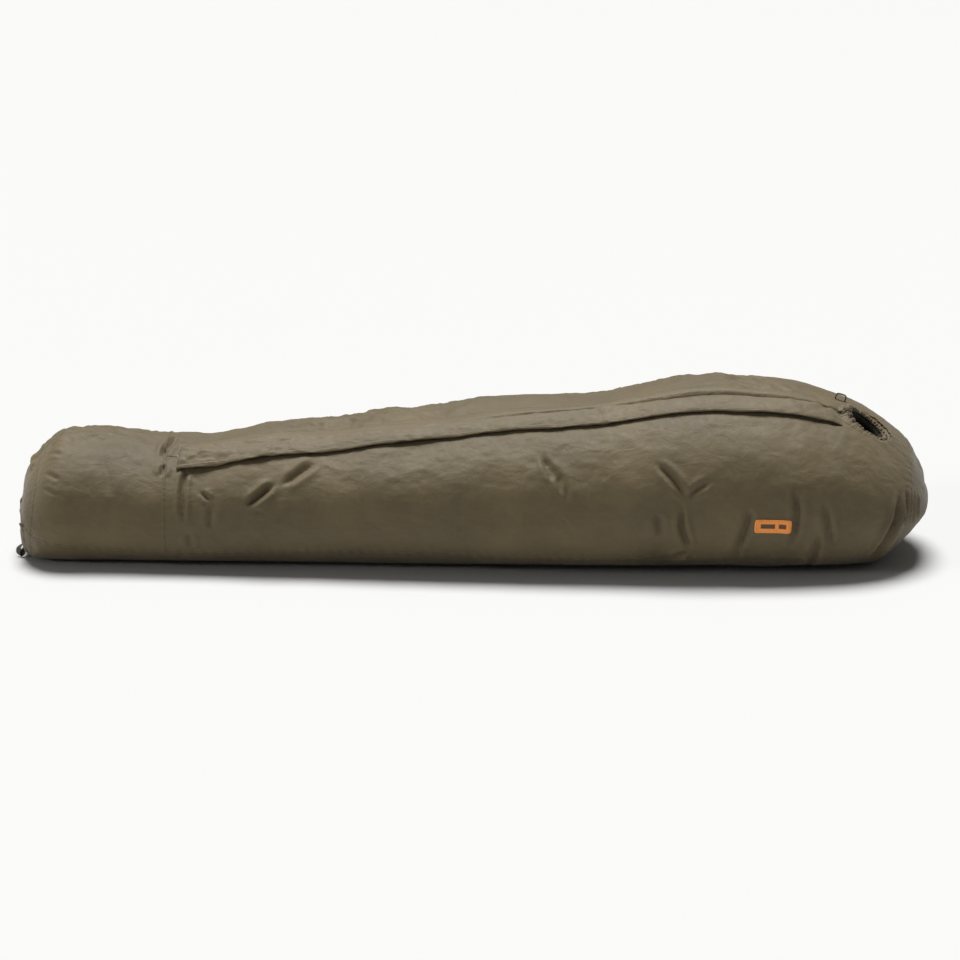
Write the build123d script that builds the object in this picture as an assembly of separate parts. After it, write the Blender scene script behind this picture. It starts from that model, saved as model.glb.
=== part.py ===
"""Mummy-shaped bivy sack, filled out and lying on the ground.

Millimetres. +X points to the head, +Z up, the ground is z = 0, and the zip is on the sleeper's left, -Y.
The shell is cut from one thin lofted skin into the panels that are sewn together.
"""

from build123d import *
import math
import os

# Overall sizes
LENGTH = 2146.0
WIDTH = 606.0
GIRTH_LOW = 0.45  # share of the height at which a section is widest
ROUND_TOP = 2.0  # superellipse powers of a section's upper and lower half
ROUND_BOTTOM = 3.0
SECTION_POINTS = 24

# Cloth
WALL = 2.4  # stand-in for 0.4 mm laminate
PRESSED = 1.2  # how much of the wall the ground flattens
TAPE_WALL = 0.6  # stand-in for seam tape
TAPE_WIDTH = 22.0
SEAM_GAP = 0.1
FLOOR_SEAM = 48.0  # height of the seam between the floor and the sides

# Zip line: a straight run from the foot, then a hollow and a crowned arc to the face opening
ZIP_Y = -112.0
ZIP_TILT = 19.0  # the zip leans with the shell
ZIP_FOOT_SHARE = -0.3215
ZIP_HEAD_SHARE = 0.3930
ZIP_FOOT_Z = 258.2
ZIP_SLOPE = 0.108
CROWN_SHARE = 0.2726
CROWN_Z = 403.5
CROWN_RADIUS = 790.0
HOLLOW_RADIUS = 600.0
TAPE_HALF = 14.0  # from the zip's middle to the tape's outer edge
TAPE_THICK = 0.9
COIL_WIDTH = 3.0
COIL_HIGH = 2.4
COIL_GAP = 2.2  # between the two rows, where a slider's web runs
RUNNING = 0.3  # clearance round what moves
STOP_LONG = 5.0
STOP_HIGH = 3.4
STOP_ROUND = 1.0
STOP_ROOM = 0.6  # between a stop and the end of its slot

# Sliders and pulls
SLIDER_LONG = 24.0
SLIDER_WIDE = 13.0
PLATE = 1.3
WEB = 1.4
WEB_LONG = 10.0
BRIDGE_LONG = 12.0
BRIDGE_WIDE = 2.4
BRIDGE_HIGH = 4.0
BRIDGE_BAR = 1.5
PULL_LONG = 30.0
PULL_WIDE = 8.0
PULL_THICK = 1.4
PULL_BAR = 1.6
PULL_CORNER = 3.0
PULL_HOLE = 1.6  # radius
PULL_HOLE_IN = 5.0  # from the tab's end to its hole
PLATE_CORNER = 3.5
FOOT_GAP = 2.0  # between a slider at rest and its stop

# Storm flap
FLAP_SEAM_Y = -86.0
FLAP_CLEAR = 12.0  # room over the sliders
FLAP_WALL = 2.0
FLAP_FOOT_SHARE = -0.3241
FLAP_SPLIT_SHARE = 0.2650
FLAP_REACH = 0.46  # how far from the flap's middle its skin is drawn
FLAP_HEAD_SHARE = 0.3905
FLAP_EDGE = ((-0.40, -132.0), (-0.19, -149.0), (0.0, -149.0), (0.26, -172.0), (0.45, -126.0))
FLAP_CUT = 1.0  # between the fixed flap, its loose head end and the seam

# Face opening
FACE_SHARE = 0.42650
FACE_Y = -88.0
FACE_LONG = 55.0  # half axes of the collar's middle line
FACE_WIDE = 41.0
FACE_SINK = 6.0  # how far the collar's plane sinks into the hood at its middle
COLLAR = 11.0  # radius of the gathered tube
CASING = 2.4  # radius of the tunnel that the drawcord runs in
CORD = 1.5  # radius of the drawcord
COLLAR_GAP = 0.3

# Cord lock, hanging inside the hood under the collar's foot end
LEG_GAP = 6.0  # between the drawcord's two legs
LEG_LONG = 60.0
EYELET_LONG = 14.0
EYELET_WIDE = 7.0
EYELET_THICK = 0.8
LOCK_RADIUS = 7.5
LOCK_LONG = 22.0
LOCK_WALL = 1.4
LOCK_DROP = 23.0  # from the casing's middle to the lock's
PLUNGER_OUT = 4.5
PLUNGER_TRAVEL = 3.0
PLUNGER_ROUND = 1.5
PLUNGER_REACH = 3.6  # from the lock's middle to the plunger's inner end
SPRING_RADIUS = 3.2
SPRING_WIRE = 0.3
SPRING_TURNS = 4
KNOT = 5.5

# Label on the left side
LABEL_SHARE = 0.3187
LABEL_Z = 143.0
LABEL_LONG = 86.0
LABEL_HIGH = 36.0
LABEL_THICK = 1.0

# Loops
WEBBING = 1.6
FOOT_LOOP_Y = -58.0
FOOT_LOOP_WIDE = 19.0
FOOT_LOOP_LONG = 30.0
FOOT_LOOP_OPEN = 9.0
FOOT_LOOP_LEAN = 25.0  # degrees from plumb
FOOT_LOOP_Z = 31.0
HANG_SHARE = 0.4000
HANG_Y = -16.0
HANG_SPAN = 26.0
HANG_HIGH = 9.5
HANG_WIDE = 8.0

# Sections: place and half width as shares of the length and half the width, top (None over the zip,
# where it follows from the zip line), underside, lean of the section's plane, and how far it faces
# along X (-1 at the foot's tip, 1 at the head's).
REST = -PRESSED
FOOT_TIP = (
    (-0.5012, 0.10, 112, 84, 0.0, -1.0),
    (-0.4970, 0.30, 166, 46, 0.0, -0.8),
    (-0.4925, 0.43, 205, 26, 0.03, -0.6),
)
FOOT_RIM = (-0.4840, 0.54, 246, 6, 0.10, -0.3)
FOOT = (
    (-0.4690, 0.60, 286, REST, 0.12, 0.0),
    (-0.4480, 0.628, 295, REST, 0.05, 0.0),
    (-0.4140, 0.630, 294, REST, 0.0, 0.0),
    (-0.3720, 0.650, 287, REST, 0.0, 0.0),
)
FOOT_SEAM = (-0.3370, 0.670, 282, REST, 0.0, 0.0)
BODY = (
    (-0.2800, 0.706, None, REST, 0.0, 0.0),
    (-0.1930, 0.766, None, REST, 0.0, 0.0),
    (-0.0830, 0.842, None, REST, 0.0, 0.0),
    (0.0060, 0.898, None, REST, 0.0, 0.0),
    (0.0930, 0.941, None, REST, 0.0, 0.0),
    (0.1500, 0.967, None, REST, 0.0, 0.0),
    (0.2010, 0.987, None, REST, 0.0, 0.0),
    (0.2750, 1.000, None, REST, 0.0, 0.0),
    (0.3360, 0.993, None, REST, 0.0, 0.0),
    (0.3730, 0.964, None, REST, 0.0, 0.0),
    (0.4030, 0.924, None, REST, 0.0, 0.0),
)
HOOD = (
    (0.4250, 0.865, 347, REST, 0.03, 0.0),
    (0.4430, 0.790, 311, REST, 0.12, 0.0),
)
HOOD_RIM = (0.4610, 0.685, 270, 10, 0.25, 0.1)
HOOD_TIP = (
    (0.4730, 0.600, 246, 36, 0.20, 0.3),
    (0.4850, 0.480, 220, 64, 0.12, 0.5),
    (0.4930, 0.340, 192, 86, 0.05, 0.75),
    (0.4975, 0.190, 165, 104, 0.0, 0.95),
    (0.4990, 0.080, 145, 117, 0.0, 1.0),
)
STATIONS = FOOT_TIP + (FOOT_RIM,) + FOOT + (FOOT_SEAM,) + BODY + HOOD + (HOOD_RIM,) + HOOD_TIP


def at(share):
    return share * LENGTH


# ---------------------------------------------------------------- the zip's line


def zip_line():
    """Ends, joins and centres of the zip's three stretches, as (x, z), and the line's direction."""
    along = (1 / math.hypot(1, ZIP_SLOPE), ZIP_SLOPE / math.hypot(1, ZIP_SLOPE))
    up = (-along[1], along[0])
    start = (at(ZIP_FOOT_SHARE), ZIP_FOOT_Z)
    crown = (at(CROWN_SHARE), CROWN_Z - CROWN_RADIUS)
    dx = start[0] + HOLLOW_RADIUS * up[0] - crown[0]
    dz = start[1] + HOLLOW_RADIUS * up[1] - crown[1]
    b = dx * along[0] + dz * along[1]
    c = dx * dx + dz * dz - (CROWN_RADIUS + HOLLOW_RADIUS) ** 2
    run = -b - math.sqrt(b * b - c)
    join = (start[0] + run * along[0], start[1] + run * along[1])
    hollow = (join[0] + HOLLOW_RADIUS * up[0], join[1] + HOLLOW_RADIUS * up[1])
    share = CROWN_RADIUS / (CROWN_RADIUS + HOLLOW_RADIUS)
    crest = (crown[0] + share * (hollow[0] - crown[0]), crown[1] + share * (hollow[1] - crown[1]))
    return start, join, crest, hollow, crown, along, run


START, JOIN, CREST, HOLLOW, CROWN, ALONG, RUN = zip_line()


def zip_height(x):
    """Height of the zip's line at x."""
    if x <= JOIN[0]:
        return START[1] + ZIP_SLOPE * (x - START[0])
    if x <= CREST[0]:
        return HOLLOW[1] - math.sqrt(HOLLOW_RADIUS**2 - (x - HOLLOW[0]) ** 2)
    return CROWN[1] + math.sqrt(CROWN_RADIUS**2 - (x - CROWN[0]) ** 2)


def section_plane(x):
    """Plane across the zip at x: local x across the tape, local y away from the body."""
    if x <= JOIN[0]:
        tangent = Vector(ALONG[0], 0, ALONG[1])
    elif x <= CREST[0]:
        tangent = Vector(HOLLOW[1] - zip_height(x), 0, x - HOLLOW[0]).normalized()
    else:
        tangent = Vector(zip_height(x) - CROWN[1], 0, CROWN[0] - x).normalized()
    normal = Vector(-tangent.Z, 0, tangent.X)
    tilt = math.radians(ZIP_TILT)
    across = Vector(0, math.cos(tilt), 0) + normal * math.sin(tilt)
    return Plane(origin=(x, ZIP_Y, zip_height(x)), x_dir=across, z_dir=tangent)


# ---------------------------------------------------------------- the skin


def measures(station):
    """Half width, top and underside of a section before any offset."""
    share, half, top, underside, _, _ = station
    half = half * WIDTH / 2
    if top is None:
        drop = (1 - (ZIP_Y / half) ** 2) ** (1 / ROUND_TOP)
        top = underside + (zip_height(at(share)) - underside) / (GIRTH_LOW + (1 - GIRTH_LOW) * drop)
    return half, top, underside


def section(station, grow):
    """Closed section of the skin, pushed out by grow."""
    share, _, _, _, lean, facing = station
    half, top, underside = measures(station)
    pivot = underside + GIRTH_LOW * (top - underside)
    out = grow * math.sqrt(1 - facing * facing)
    half, top, underside = half + out, top + out, underside - out
    middle = underside + GIRTH_LOW * (top - underside)
    points = []
    for i in range(SECTION_POINTS):
        turn = 2 * math.pi * i / SECTION_POINTS - math.pi / 2
        c, s = math.cos(turn), math.sin(turn)
        power = 2 / (ROUND_TOP if s > 0 else ROUND_BOTTOM)
        y = half * math.copysign(abs(c) ** power, c)
        reach = top - middle if s > 0 else middle - underside
        z = middle + reach * math.copysign(abs(s) ** power, s)
        points.append((at(share) + facing * grow + lean * (z - pivot), y, z))
    return Face(Wire(Spline(points, periodic=True)))


def skin(grow, stations=STATIONS):
    return loft([section(s, grow) for s in stations])


def rim_plane(station):
    """The plane of a leaning section, facing the head."""
    share, _, _, _, lean, _ = station
    _, top, underside = measures(station)
    pivot = underside + GIRTH_LOW * (top - underside)
    return Plane(origin=(at(share), 0, pivot), x_dir=(0, 1, 0), z_dir=(1, 0, -lean))


def slab(low, high):
    """A box between two corners."""
    size = [h - l for l, h in zip(low, high)]
    return Pos(*[(l + h) / 2 for l, h in zip(low, high)]) * Box(*size)


def above(solid, plane, gap=0.0):
    return split(solid, bisect_by=plane.offset(gap / 2), keep=Keep.TOP)


def below(solid, plane, gap=0.0):
    return split(solid, bisect_by=plane.offset(-gap / 2), keep=Keep.BOTTOM)


def skin_height(x, y, grow=0.0):
    """Height of the skin's upper side at x, y, between the sections on each side."""
    low = max((s for s in STATIONS if at(s[0]) <= x), key=lambda s: s[0])
    high = min((s for s in STATIONS if at(s[0]) > x), key=lambda s: s[0])
    part = (x - at(low[0])) / (at(high[0]) - at(low[0]))
    half, top, underside = [a + part * (b - a) for a, b in zip(measures(low), measures(high))]
    half, top, underside = half + grow, top + grow, underside - grow
    middle = underside + GIRTH_LOW * (top - underside)
    return middle + (top - middle) * math.sqrt(1 - (y / half) ** 2)


def skin_plane(x, y, step=4.0):
    """Plane that lies on the skin at x, y: local x towards the head, z outwards."""
    ahead = Vector(2 * step, 0, skin_height(x + step, y) - skin_height(x - step, y))
    across = Vector(0, 2 * step, skin_height(x, y + step) - skin_height(x, y - step))
    return Plane(origin=(x, y, skin_height(x, y)), x_dir=ahead, z_dir=ahead.cross(across))


# ---------------------------------------------------------------- pieces

PARTS = {}


def panels():
    """The sewn panels: blocks cut from the filled-out shape along the seams, then hollowed."""
    far = LENGTH
    foot, hood = rim_plane(FOOT_RIM), rim_plane(HOOD_RIM)
    whole = skin(0) - slab((-far, -far, -far), (far, far, 0))
    core = skin(-WALL)
    PARTS["foot_end_panel"] = below(whole, foot, SEAM_GAP) - core
    PARTS["hood_end_panel"] = above(whole, hood, SEAM_GAP) - core
    middle = below(above(whole, foot, SEAM_GAP), hood, SEAM_GAP)
    floor = Plane.XY.offset(FLOOR_SEAM)
    PARTS["floor_panel"] = below(middle, floor, SEAM_GAP) - core
    middle = above(middle, floor, SEAM_GAP)
    ankle = Plane(origin=(at(FOOT_SEAM[0]), 0, 0), z_dir=(1, 0, 0))
    PARTS["foot_sleeve"] = below(middle, ankle, SEAM_GAP) - core
    middle = above(middle, ankle, SEAM_GAP)
    edge = TAPE_HALF + RUNNING
    slot = slab(
        (at(ZIP_FOOT_SHARE) - STOP_LONG - STOP_ROOM, ZIP_Y - edge, 2 * FLOOR_SEAM),
        (at(ZIP_HEAD_SHARE) + STOP_LONG + STOP_ROOM, ZIP_Y + edge, far),
    )
    room = COLLAR + COLLAR_GAP
    hole = face_plane() * extrude(Ellipse(FACE_LONG + room, FACE_WIDE + room), 2 * room, both=True)
    middle = middle - core - slot - hole
    seam = Plane(origin=(0, ZIP_Y, 0), z_dir=(0, 1, 0))
    PARTS["left_side_panel"] = below(middle, seam, SEAM_GAP)
    PARTS["crown_panel"] = above(middle, seam, SEAM_GAP)


def seam_tapes():
    """Waterproof tape welded over the seams from inside."""
    half, far = TAPE_WIDTH / 2, LENGTH
    foot, hood = rim_plane(FOOT_RIM), rim_plane(HOOD_RIM)
    whole, core = skin(-WALL), skin(-WALL - TAPE_WALL)
    band = slab((-far, -far, FLOOR_SEAM - half), (far, far, FLOOR_SEAM + half))
    middle = below(above(whole, foot.offset(half)), hood.offset(-half)) & band
    PARTS["floor_seam_tape"] = middle - core
    ankle = at(FOOT_SEAM[0])
    band = slab((ankle - half, -far, FLOOR_SEAM + half + SEAM_GAP), (ankle + half, far, far))
    PARTS["ankle_seam_tape"] = (whole & band) - core
    PARTS["foot_seam_tape"] = below(above(whole, foot.offset(-half)), foot.offset(half), SEAM_GAP) - core
    PARTS["hood_seam_tape"] = below(above(whole, hood.offset(-half), SEAM_GAP), hood.offset(half)) - core


def along_zip(profile):
    """A profile drawn across the zip, run from its foot stop to its head stop."""
    first = section_plane(START[0]) * profile
    second = section_plane(JOIN[0]) * profile
    third = section_plane(CREST[0]) * profile
    to_hollow = math.degrees(math.asin((CREST[0] - HOLLOW[0]) / HOLLOW_RADIUS)) + math.degrees(
        math.asin((HOLLOW[0] - JOIN[0]) / HOLLOW_RADIUS)
    )
    to_head = math.degrees(
        math.asin((at(ZIP_HEAD_SHARE) - CROWN[0]) / CROWN_RADIUS)
        - math.asin((CREST[0] - CROWN[0]) / CROWN_RADIUS)
    )
    return [
        extrude(first, amount=RUN, dir=(ALONG[0], 0, ALONG[1])),
        revolve(second, Axis((HOLLOW[0], 0, HOLLOW[1]), (0, -1, 0)), to_hollow),
        revolve(third, Axis((CROWN[0], 0, CROWN[1]), (0, 1, 0)), to_head),
    ]


def join(solids):
    whole = solids[0]
    for solid in solids[1:]:
        whole = whole + solid
    return whole


def zip_fastener():
    """Two tapes, each with its coil, and the stops at both ends."""
    inner = COIL_GAP / 2
    for side, name in ((1, "right"), (-1, "left")):
        tape = Pos(side * (inner + TAPE_HALF) / 2, -TAPE_THICK / 2) * Rectangle(TAPE_HALF - inner, TAPE_THICK)
        coil = Pos(side * (inner + COIL_WIDTH / 2), COIL_HIGH / 2) * Rectangle(COIL_WIDTH, COIL_HIGH)
        PARTS["zip_tape_" + name] = join(along_zip(tape))
        PARTS["zip_coil_" + name] = join(along_zip(coil))
    stop = Pos(0, COIL_HIGH / 2) * RectangleRounded(COIL_GAP + 2 * COIL_WIDTH, STOP_HIGH, STOP_ROUND)
    PARTS["zip_foot_stop"] = extrude(section_plane(START[0]) * stop, amount=-STOP_LONG)
    PARTS["zip_head_stop"] = extrude(section_plane(at(ZIP_HEAD_SHARE)) * stop, amount=STOP_LONG)


def slider(name, x, pull_side):
    """A slider on the coils at x, and its pull tab lying towards pull_side along the zip."""
    low, roof = -TAPE_THICK - RUNNING, COIL_HIGH + RUNNING
    plate = fillet(Box(SLIDER_WIDE, PLATE, SLIDER_LONG).edges().filter_by(Axis.Y), PLATE_CORNER)
    web = slab((-WEB / 2, low, -WEB_LONG / 2), (WEB / 2, roof, WEB_LONG / 2))
    top, half = roof + PLATE, BRIDGE_LONG / 2
    bridge = slab((-BRIDGE_WIDE / 2, top, -half), (BRIDGE_WIDE / 2, top + BRIDGE_HIGH, half))
    eye = slab(
        (-BRIDGE_WIDE, top, -half + BRIDGE_BAR),
        (BRIDGE_WIDE, top + BRIDGE_HIGH - BRIDGE_BAR, half - BRIDGE_BAR),
    )
    body = Pos(0, low - PLATE / 2, 0) * plate + Pos(0, roof + PLATE / 2, 0) * plate + web + (bridge - eye)
    pin = pull_pin()
    tab = slab(
        (-PULL_WIDE / 2, pin - PULL_THICK / 2, -PULL_BAR / 2),
        (PULL_WIDE / 2, pin + PULL_THICK / 2, PULL_LONG),
    )
    tab = fillet(tab.edges().filter_by(Axis.Y).group_by(Axis.Z)[-1], PULL_CORNER)
    hole = BRIDGE_WIDE / 2 + 2 * RUNNING
    tab -= slab((-hole, 0, PULL_BAR / 2), (hole, 2 * top, half + 3 * RUNNING))
    tab -= Pos(0, pin, PULL_LONG - PULL_HOLE_IN) * extrude(Plane.XZ * Circle(PULL_HOLE), PULL_THICK, both=True)
    place = section_plane(x)
    PARTS[name + "_slider"] = place * body
    PARTS[name + "_pull"] = place * (tab if pull_side > 0 else mirror(tab, Plane.XY))


def pull_pin():
    """Height of a pull's cross bar over the tape."""
    return COIL_HIGH + RUNNING + PLATE + (BRIDGE_HIGH - BRIDGE_BAR) / 2


def flap():
    """Storm flap: fixed along its seam, with a head end that lifts."""
    near = [s for s in STATIONS if abs(s[0] - FLAP_SPLIT_SHARE / 4) < FLAP_REACH]
    seam, far = FLAP_SEAM_Y + FLAP_WALL, 2 * WIDTH
    foot, head = at(FLAP_FOOT_SHARE), at(FLAP_HEAD_SHARE)
    over = skin(FLAP_CLEAR + FLAP_WALL, near) & slab((foot, -far, FLOOR_SEAM), (head, seam, far))
    edge = Spline([(at(share), y) for share, y in FLAP_EDGE])
    start, end = edge @ 0, edge @ 1
    rim = Polyline((end.X, end.Y), (end.X, seam), (start.X, seam), (start.X, start.Y))
    plan = extrude(Face(Wire([edge, *rim.edges()])), far)
    cut, split_x = FLAP_CUT / 2, at(FLAP_SPLIT_SHARE)
    fixed = over & slab((foot, -far, FLOOR_SEAM), (split_x - cut, seam, far))
    root = fixed & slab((foot, FLAP_SEAM_Y, FLOOR_SEAM), (split_x, seam, far))
    root -= skin(SEAM_GAP)
    under = skin(FLAP_CLEAR, near)
    PARTS["storm_flap"] = ((fixed & plan) - under) + root
    loose = over & slab((split_x + cut, -far, FLOOR_SEAM), (head, FLAP_SEAM_Y - FLAP_CUT, far))
    PARTS["storm_flap_head"] = (loose & plan) - under


def flap_axis():
    """Two points on the line about which the flap's head end lifts, just over the crown of its root."""
    ends = [at(FLAP_SPLIT_SHARE) + FLAP_CUT / 2, at(FLAP_HEAD_SHARE)]
    heights = [skin_height(x, FLAP_SEAM_Y) + FLAP_CLEAR + FLAP_WALL for x in ends]
    middle = sum(ends) / 2
    crest = skin_height(middle, FLAP_SEAM_Y) + FLAP_CLEAR + FLAP_WALL - sum(heights) / 2
    return [Vector(x, FLAP_SEAM_Y, z + crest) for x, z in zip(ends, heights)]


def face_plane():
    """The plane of the face opening, laid across the hood's curve: local x towards the head, z out."""
    return skin_plane(at(FACE_SHARE), FACE_Y, FACE_LONG).offset(-FACE_SINK)


def legs():
    """Where the drawcord's two legs leave the casing."""
    turn = math.asin(LEG_GAP / 2 / FACE_WIDE)
    x = -FACE_LONG * math.cos(turn)
    return [face_plane().from_local_coords((x, side * LEG_GAP / 2, 0)) for side in (1, -1)]


def ring(radius):
    """A tube of this radius round the face opening's oval."""
    oval = Ellipse(FACE_LONG, FACE_WIDE).edge()
    halves = Wire([oval.trim(0, 0.5), oval.trim(0.5, 1)])
    return sweep(Plane(origin=oval @ 0, z_dir=oval % 0) * Circle(radius), path=halves)


def upright(point, radius, low, high):
    """A plumb cylinder, from low to high over a point."""
    return Pos(point.X, point.Y, point.Z + (low + high) / 2) * Cylinder(radius, high - low)


def face_opening():
    """The gathered collar with its tunnel, the drawcord, and the oval eyelet that its legs leave by."""
    place = face_plane()
    tunnel, cord = place * ring(CASING), place * ring(CORD)
    exits = legs()
    for point in exits:
        tunnel += upright(point, CASING, -2 * COLLAR, 0)
        cord += upright(point, CORD, -LEG_LONG, 0)
    PARTS["face_collar"] = place * ring(COLLAR) - tunnel
    PARTS["face_drawcord"] = cord
    middle = (exits[0] + exits[1]) / 2
    oval = SlotOverall(EYELET_LONG, EYELET_WIDE) - SlotOverall(
        LEG_GAP + 2 * CORD + 4 * RUNNING, 2 * CORD + 4 * RUNNING
    )
    down = COLLAR + 3 * EYELET_THICK
    PARTS["casing_eyelet"] = Pos(middle.X, middle.Y, middle.Z - down) * extrude(
        Rot(0, 0, 90) * oval, -EYELET_THICK
    )
    knot = Pos(middle.X, middle.Y, middle.Z - LEG_LONG) * Sphere(KNOT)
    PARTS["drawcord_knot"] = knot - cord


def cord_lock():
    """Barrel, sprung plunger and spring; the drawcord's legs pass through both."""
    exits = legs()
    middle = (exits[0] + exits[1]) / 2
    place = Pos(middle.X, middle.Y, middle.Z - LOCK_DROP)
    half, slot = LOCK_LONG / 2, CORD + 2 * RUNNING
    wide = LEG_GAP / 2 + slot
    bore = LOCK_RADIUS - LOCK_WALL
    barrel = Rot(0, 90, 0) * Cylinder(LOCK_RADIUS, LOCK_LONG)
    barrel -= Pos(-LOCK_WALL, 0, 0) * Rot(0, 90, 0) * Cylinder(bore, LOCK_LONG)
    barrel -= slab((-slot, -wide, -LOCK_LONG), (slot, wide, LOCK_LONG))
    long = half + PLUNGER_OUT + PLUNGER_REACH
    plunger = Pos(PLUNGER_REACH - long / 2, 0, 0) * Rot(0, 90, 0) * Cylinder(bore - RUNNING, long)
    plunger = fillet(plunger.edges().group_by(Axis.X)[0], PLUNGER_ROUND)
    plunger -= slab((-slot - PLUNGER_TRAVEL, -wide, -LOCK_LONG), (slot, wide, LOCK_LONG))
    room = half - LOCK_WALL - PLUNGER_REACH
    coil = Helix(pitch=(room - 4 * SPRING_WIRE) / SPRING_TURNS, height=room - 4 * SPRING_WIRE, radius=SPRING_RADIUS)
    wire = sweep(Plane(origin=coil @ 0, z_dir=coil % 0) * Circle(SPRING_WIRE), path=coil)
    PARTS["cord_lock_body"] = place * barrel
    PARTS["cord_lock_plunger"] = place * plunger
    PARTS["cord_lock_spring"] = place * Pos(PLUNGER_REACH + 2 * SPRING_WIRE, 0, 0) * Rot(0, 90, 0) * wire


def label():
    """The cloth label on the left side, following the skin."""
    x = at(LABEL_SHARE)
    low, high = LABEL_Z - LABEL_HIGH / 2, LABEL_Z + LABEL_HIGH / 2
    block = slab((x - LABEL_LONG / 2, -WIDTH, low), (x + LABEL_LONG / 2, 0, high))
    PARTS["label_patch"] = (skin(LABEL_THICK + SEAM_GAP) & block) - skin(SEAM_GAP)


def foot_loop_top():
    """Where the foot loop is sewn in, clear of the foot's end."""
    return Vector(at(FOOT_TIP[1][0]), FOOT_LOOP_Y, FOOT_LOOP_Z)


def loops():
    """The webbing loop at the foot and the small one over the face."""
    long, wide = FOOT_LOOP_LONG / 2, FOOT_LOOP_OPEN / 2 + WEBBING
    flat = Ellipse(wide, long) - Ellipse(wide - WEBBING, long - WEBBING)
    band = extrude(Plane.XZ * Pos(0, -long) * flat, FOOT_LOOP_WIDE / 2, both=True)
    PARTS["foot_loop"] = Pos(*foot_loop_top()) * Rot(0, FOOT_LOOP_LEAN, 0) * band
    half, heel = HANG_SPAN / 2, HANG_WIDE / 2
    arch = Ellipse(half, HANG_HIGH) - Ellipse(half - WEBBING, HANG_HIGH - WEBBING)
    arch &= Pos(0, (HANG_HIGH - heel) / 2) * Rectangle(HANG_SPAN, HANG_HIGH + heel)
    room = slab((-HANG_SPAN, -HANG_WIDE, 0), (HANG_SPAN, HANG_WIDE, 2 * HANG_HIGH))
    room += Rot(0, 90, 0) * Cylinder(heel, 2 * HANG_SPAN)
    PARTS["hood_hang_loop"] = hang_plane() * (extrude(Plane.XZ * arch, heel, both=True) & room)


def hang_plane():
    """The plane of the hang loop's hinge line, which its round heels clear the skin under."""
    place = skin_plane(at(HANG_SHARE), HANG_Y)
    return place.offset(HANG_WIDE / 2 + 2 * RUNNING)


panels()
seam_tapes()
zip_fastener()
reach = SLIDER_LONG / 2 + FOOT_GAP
slider("upper", at(ZIP_HEAD_SHARE) - reach, -1)
slider("lower", at(ZIP_FOOT_SHARE) + reach, 1)
flap()
face_opening()
cord_lock()
label()
loops()

os.makedirs("parts", exist_ok=True)
for name, solid in PARTS.items():
    export_step(solid, f"parts/{name}.step")
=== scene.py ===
"""Bivy sack: cloth shell, storm flap, gathered face opening and hardware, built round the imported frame."""
import math
import random

import bpy
import numpy as np
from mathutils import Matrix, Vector, noise
from mathutils.bvhtree import BVHTree


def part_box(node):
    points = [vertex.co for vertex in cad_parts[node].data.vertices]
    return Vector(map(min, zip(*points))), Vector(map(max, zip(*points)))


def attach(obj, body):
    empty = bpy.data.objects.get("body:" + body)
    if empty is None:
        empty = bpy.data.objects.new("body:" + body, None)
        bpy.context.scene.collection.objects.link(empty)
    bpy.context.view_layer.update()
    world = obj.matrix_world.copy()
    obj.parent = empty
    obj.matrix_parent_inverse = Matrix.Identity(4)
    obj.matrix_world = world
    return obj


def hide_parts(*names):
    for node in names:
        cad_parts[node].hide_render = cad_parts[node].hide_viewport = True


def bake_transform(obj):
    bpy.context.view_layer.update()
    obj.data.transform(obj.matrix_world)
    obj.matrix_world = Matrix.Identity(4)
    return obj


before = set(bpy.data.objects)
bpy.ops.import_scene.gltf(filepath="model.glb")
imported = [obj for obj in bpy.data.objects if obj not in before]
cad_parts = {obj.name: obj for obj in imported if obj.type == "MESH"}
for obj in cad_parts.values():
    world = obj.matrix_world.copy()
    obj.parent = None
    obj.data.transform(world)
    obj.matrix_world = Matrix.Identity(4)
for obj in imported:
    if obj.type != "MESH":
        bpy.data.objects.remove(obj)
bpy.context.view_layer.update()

# ---------------------------------------------------------------- sizes, in metres

FOOT_RIM, FOOT_LEAN = -1.0387, 0.10
HOOD_RIM, HOOD_LEAN = 0.9893, 0.25
ANKLE = -0.7233
LEAN_STARTS = 0.80
FLOOR_SEAM = 0.048
ZIP_Y = -0.112
ZIP_FOOT, ZIP_HEAD = -0.6899, 0.8434
# The middle that each ring is measured from: x, then height.
PIVOTS = (
    (FOOT_RIM, 0.114), (-0.95, 0.13), (-0.4, 0.14), (0.2, 0.167), (0.6, 0.189), (
        0.8, 0.176
    ), (HOOD_RIM, 0.127),
)

LEFT_COLUMNS, CROWN_COLUMNS, FLOOR_COLUMNS = 104, 112, 80
COLUMNS = LEFT_COLUMNS + CROWN_COLUMNS + FLOOR_COLUMNS
BODY_STEP, HOOD_STEP, CAP_STEP = 0.0044, 0.0036, 0.0046
CLOTH_THICK = 0.0011

FACE_LONG, FACE_WIDE = 0.055, 0.041
FACE_ORIGIN = Vector((0.91174, -0.08674, 0.32813))
FACE_ALONG = Vector((0.7983, 0, -0.6022)).normalized()
FACE_OUT = Vector((0.5887, -0.2108, 0.7804)).normalized()
FACE_ACROSS = FACE_OUT.cross(FACE_ALONG)
FACE_HOLE = 1.22

FLAP_FOOT, FLAP_ROOT_Y = -0.6955, -0.0850
FLAP_EDGE = ((-0.858, -0.132), (-0.408, -0.149), (0.0, -0.149), (0.558, -0.172), (0.966, -0.126))
FLAP_CLEAR = 0.0115

TILT = math.radians(15)
rng = random.Random(7)

# ---------------------------------------------------------------- camera

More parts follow.
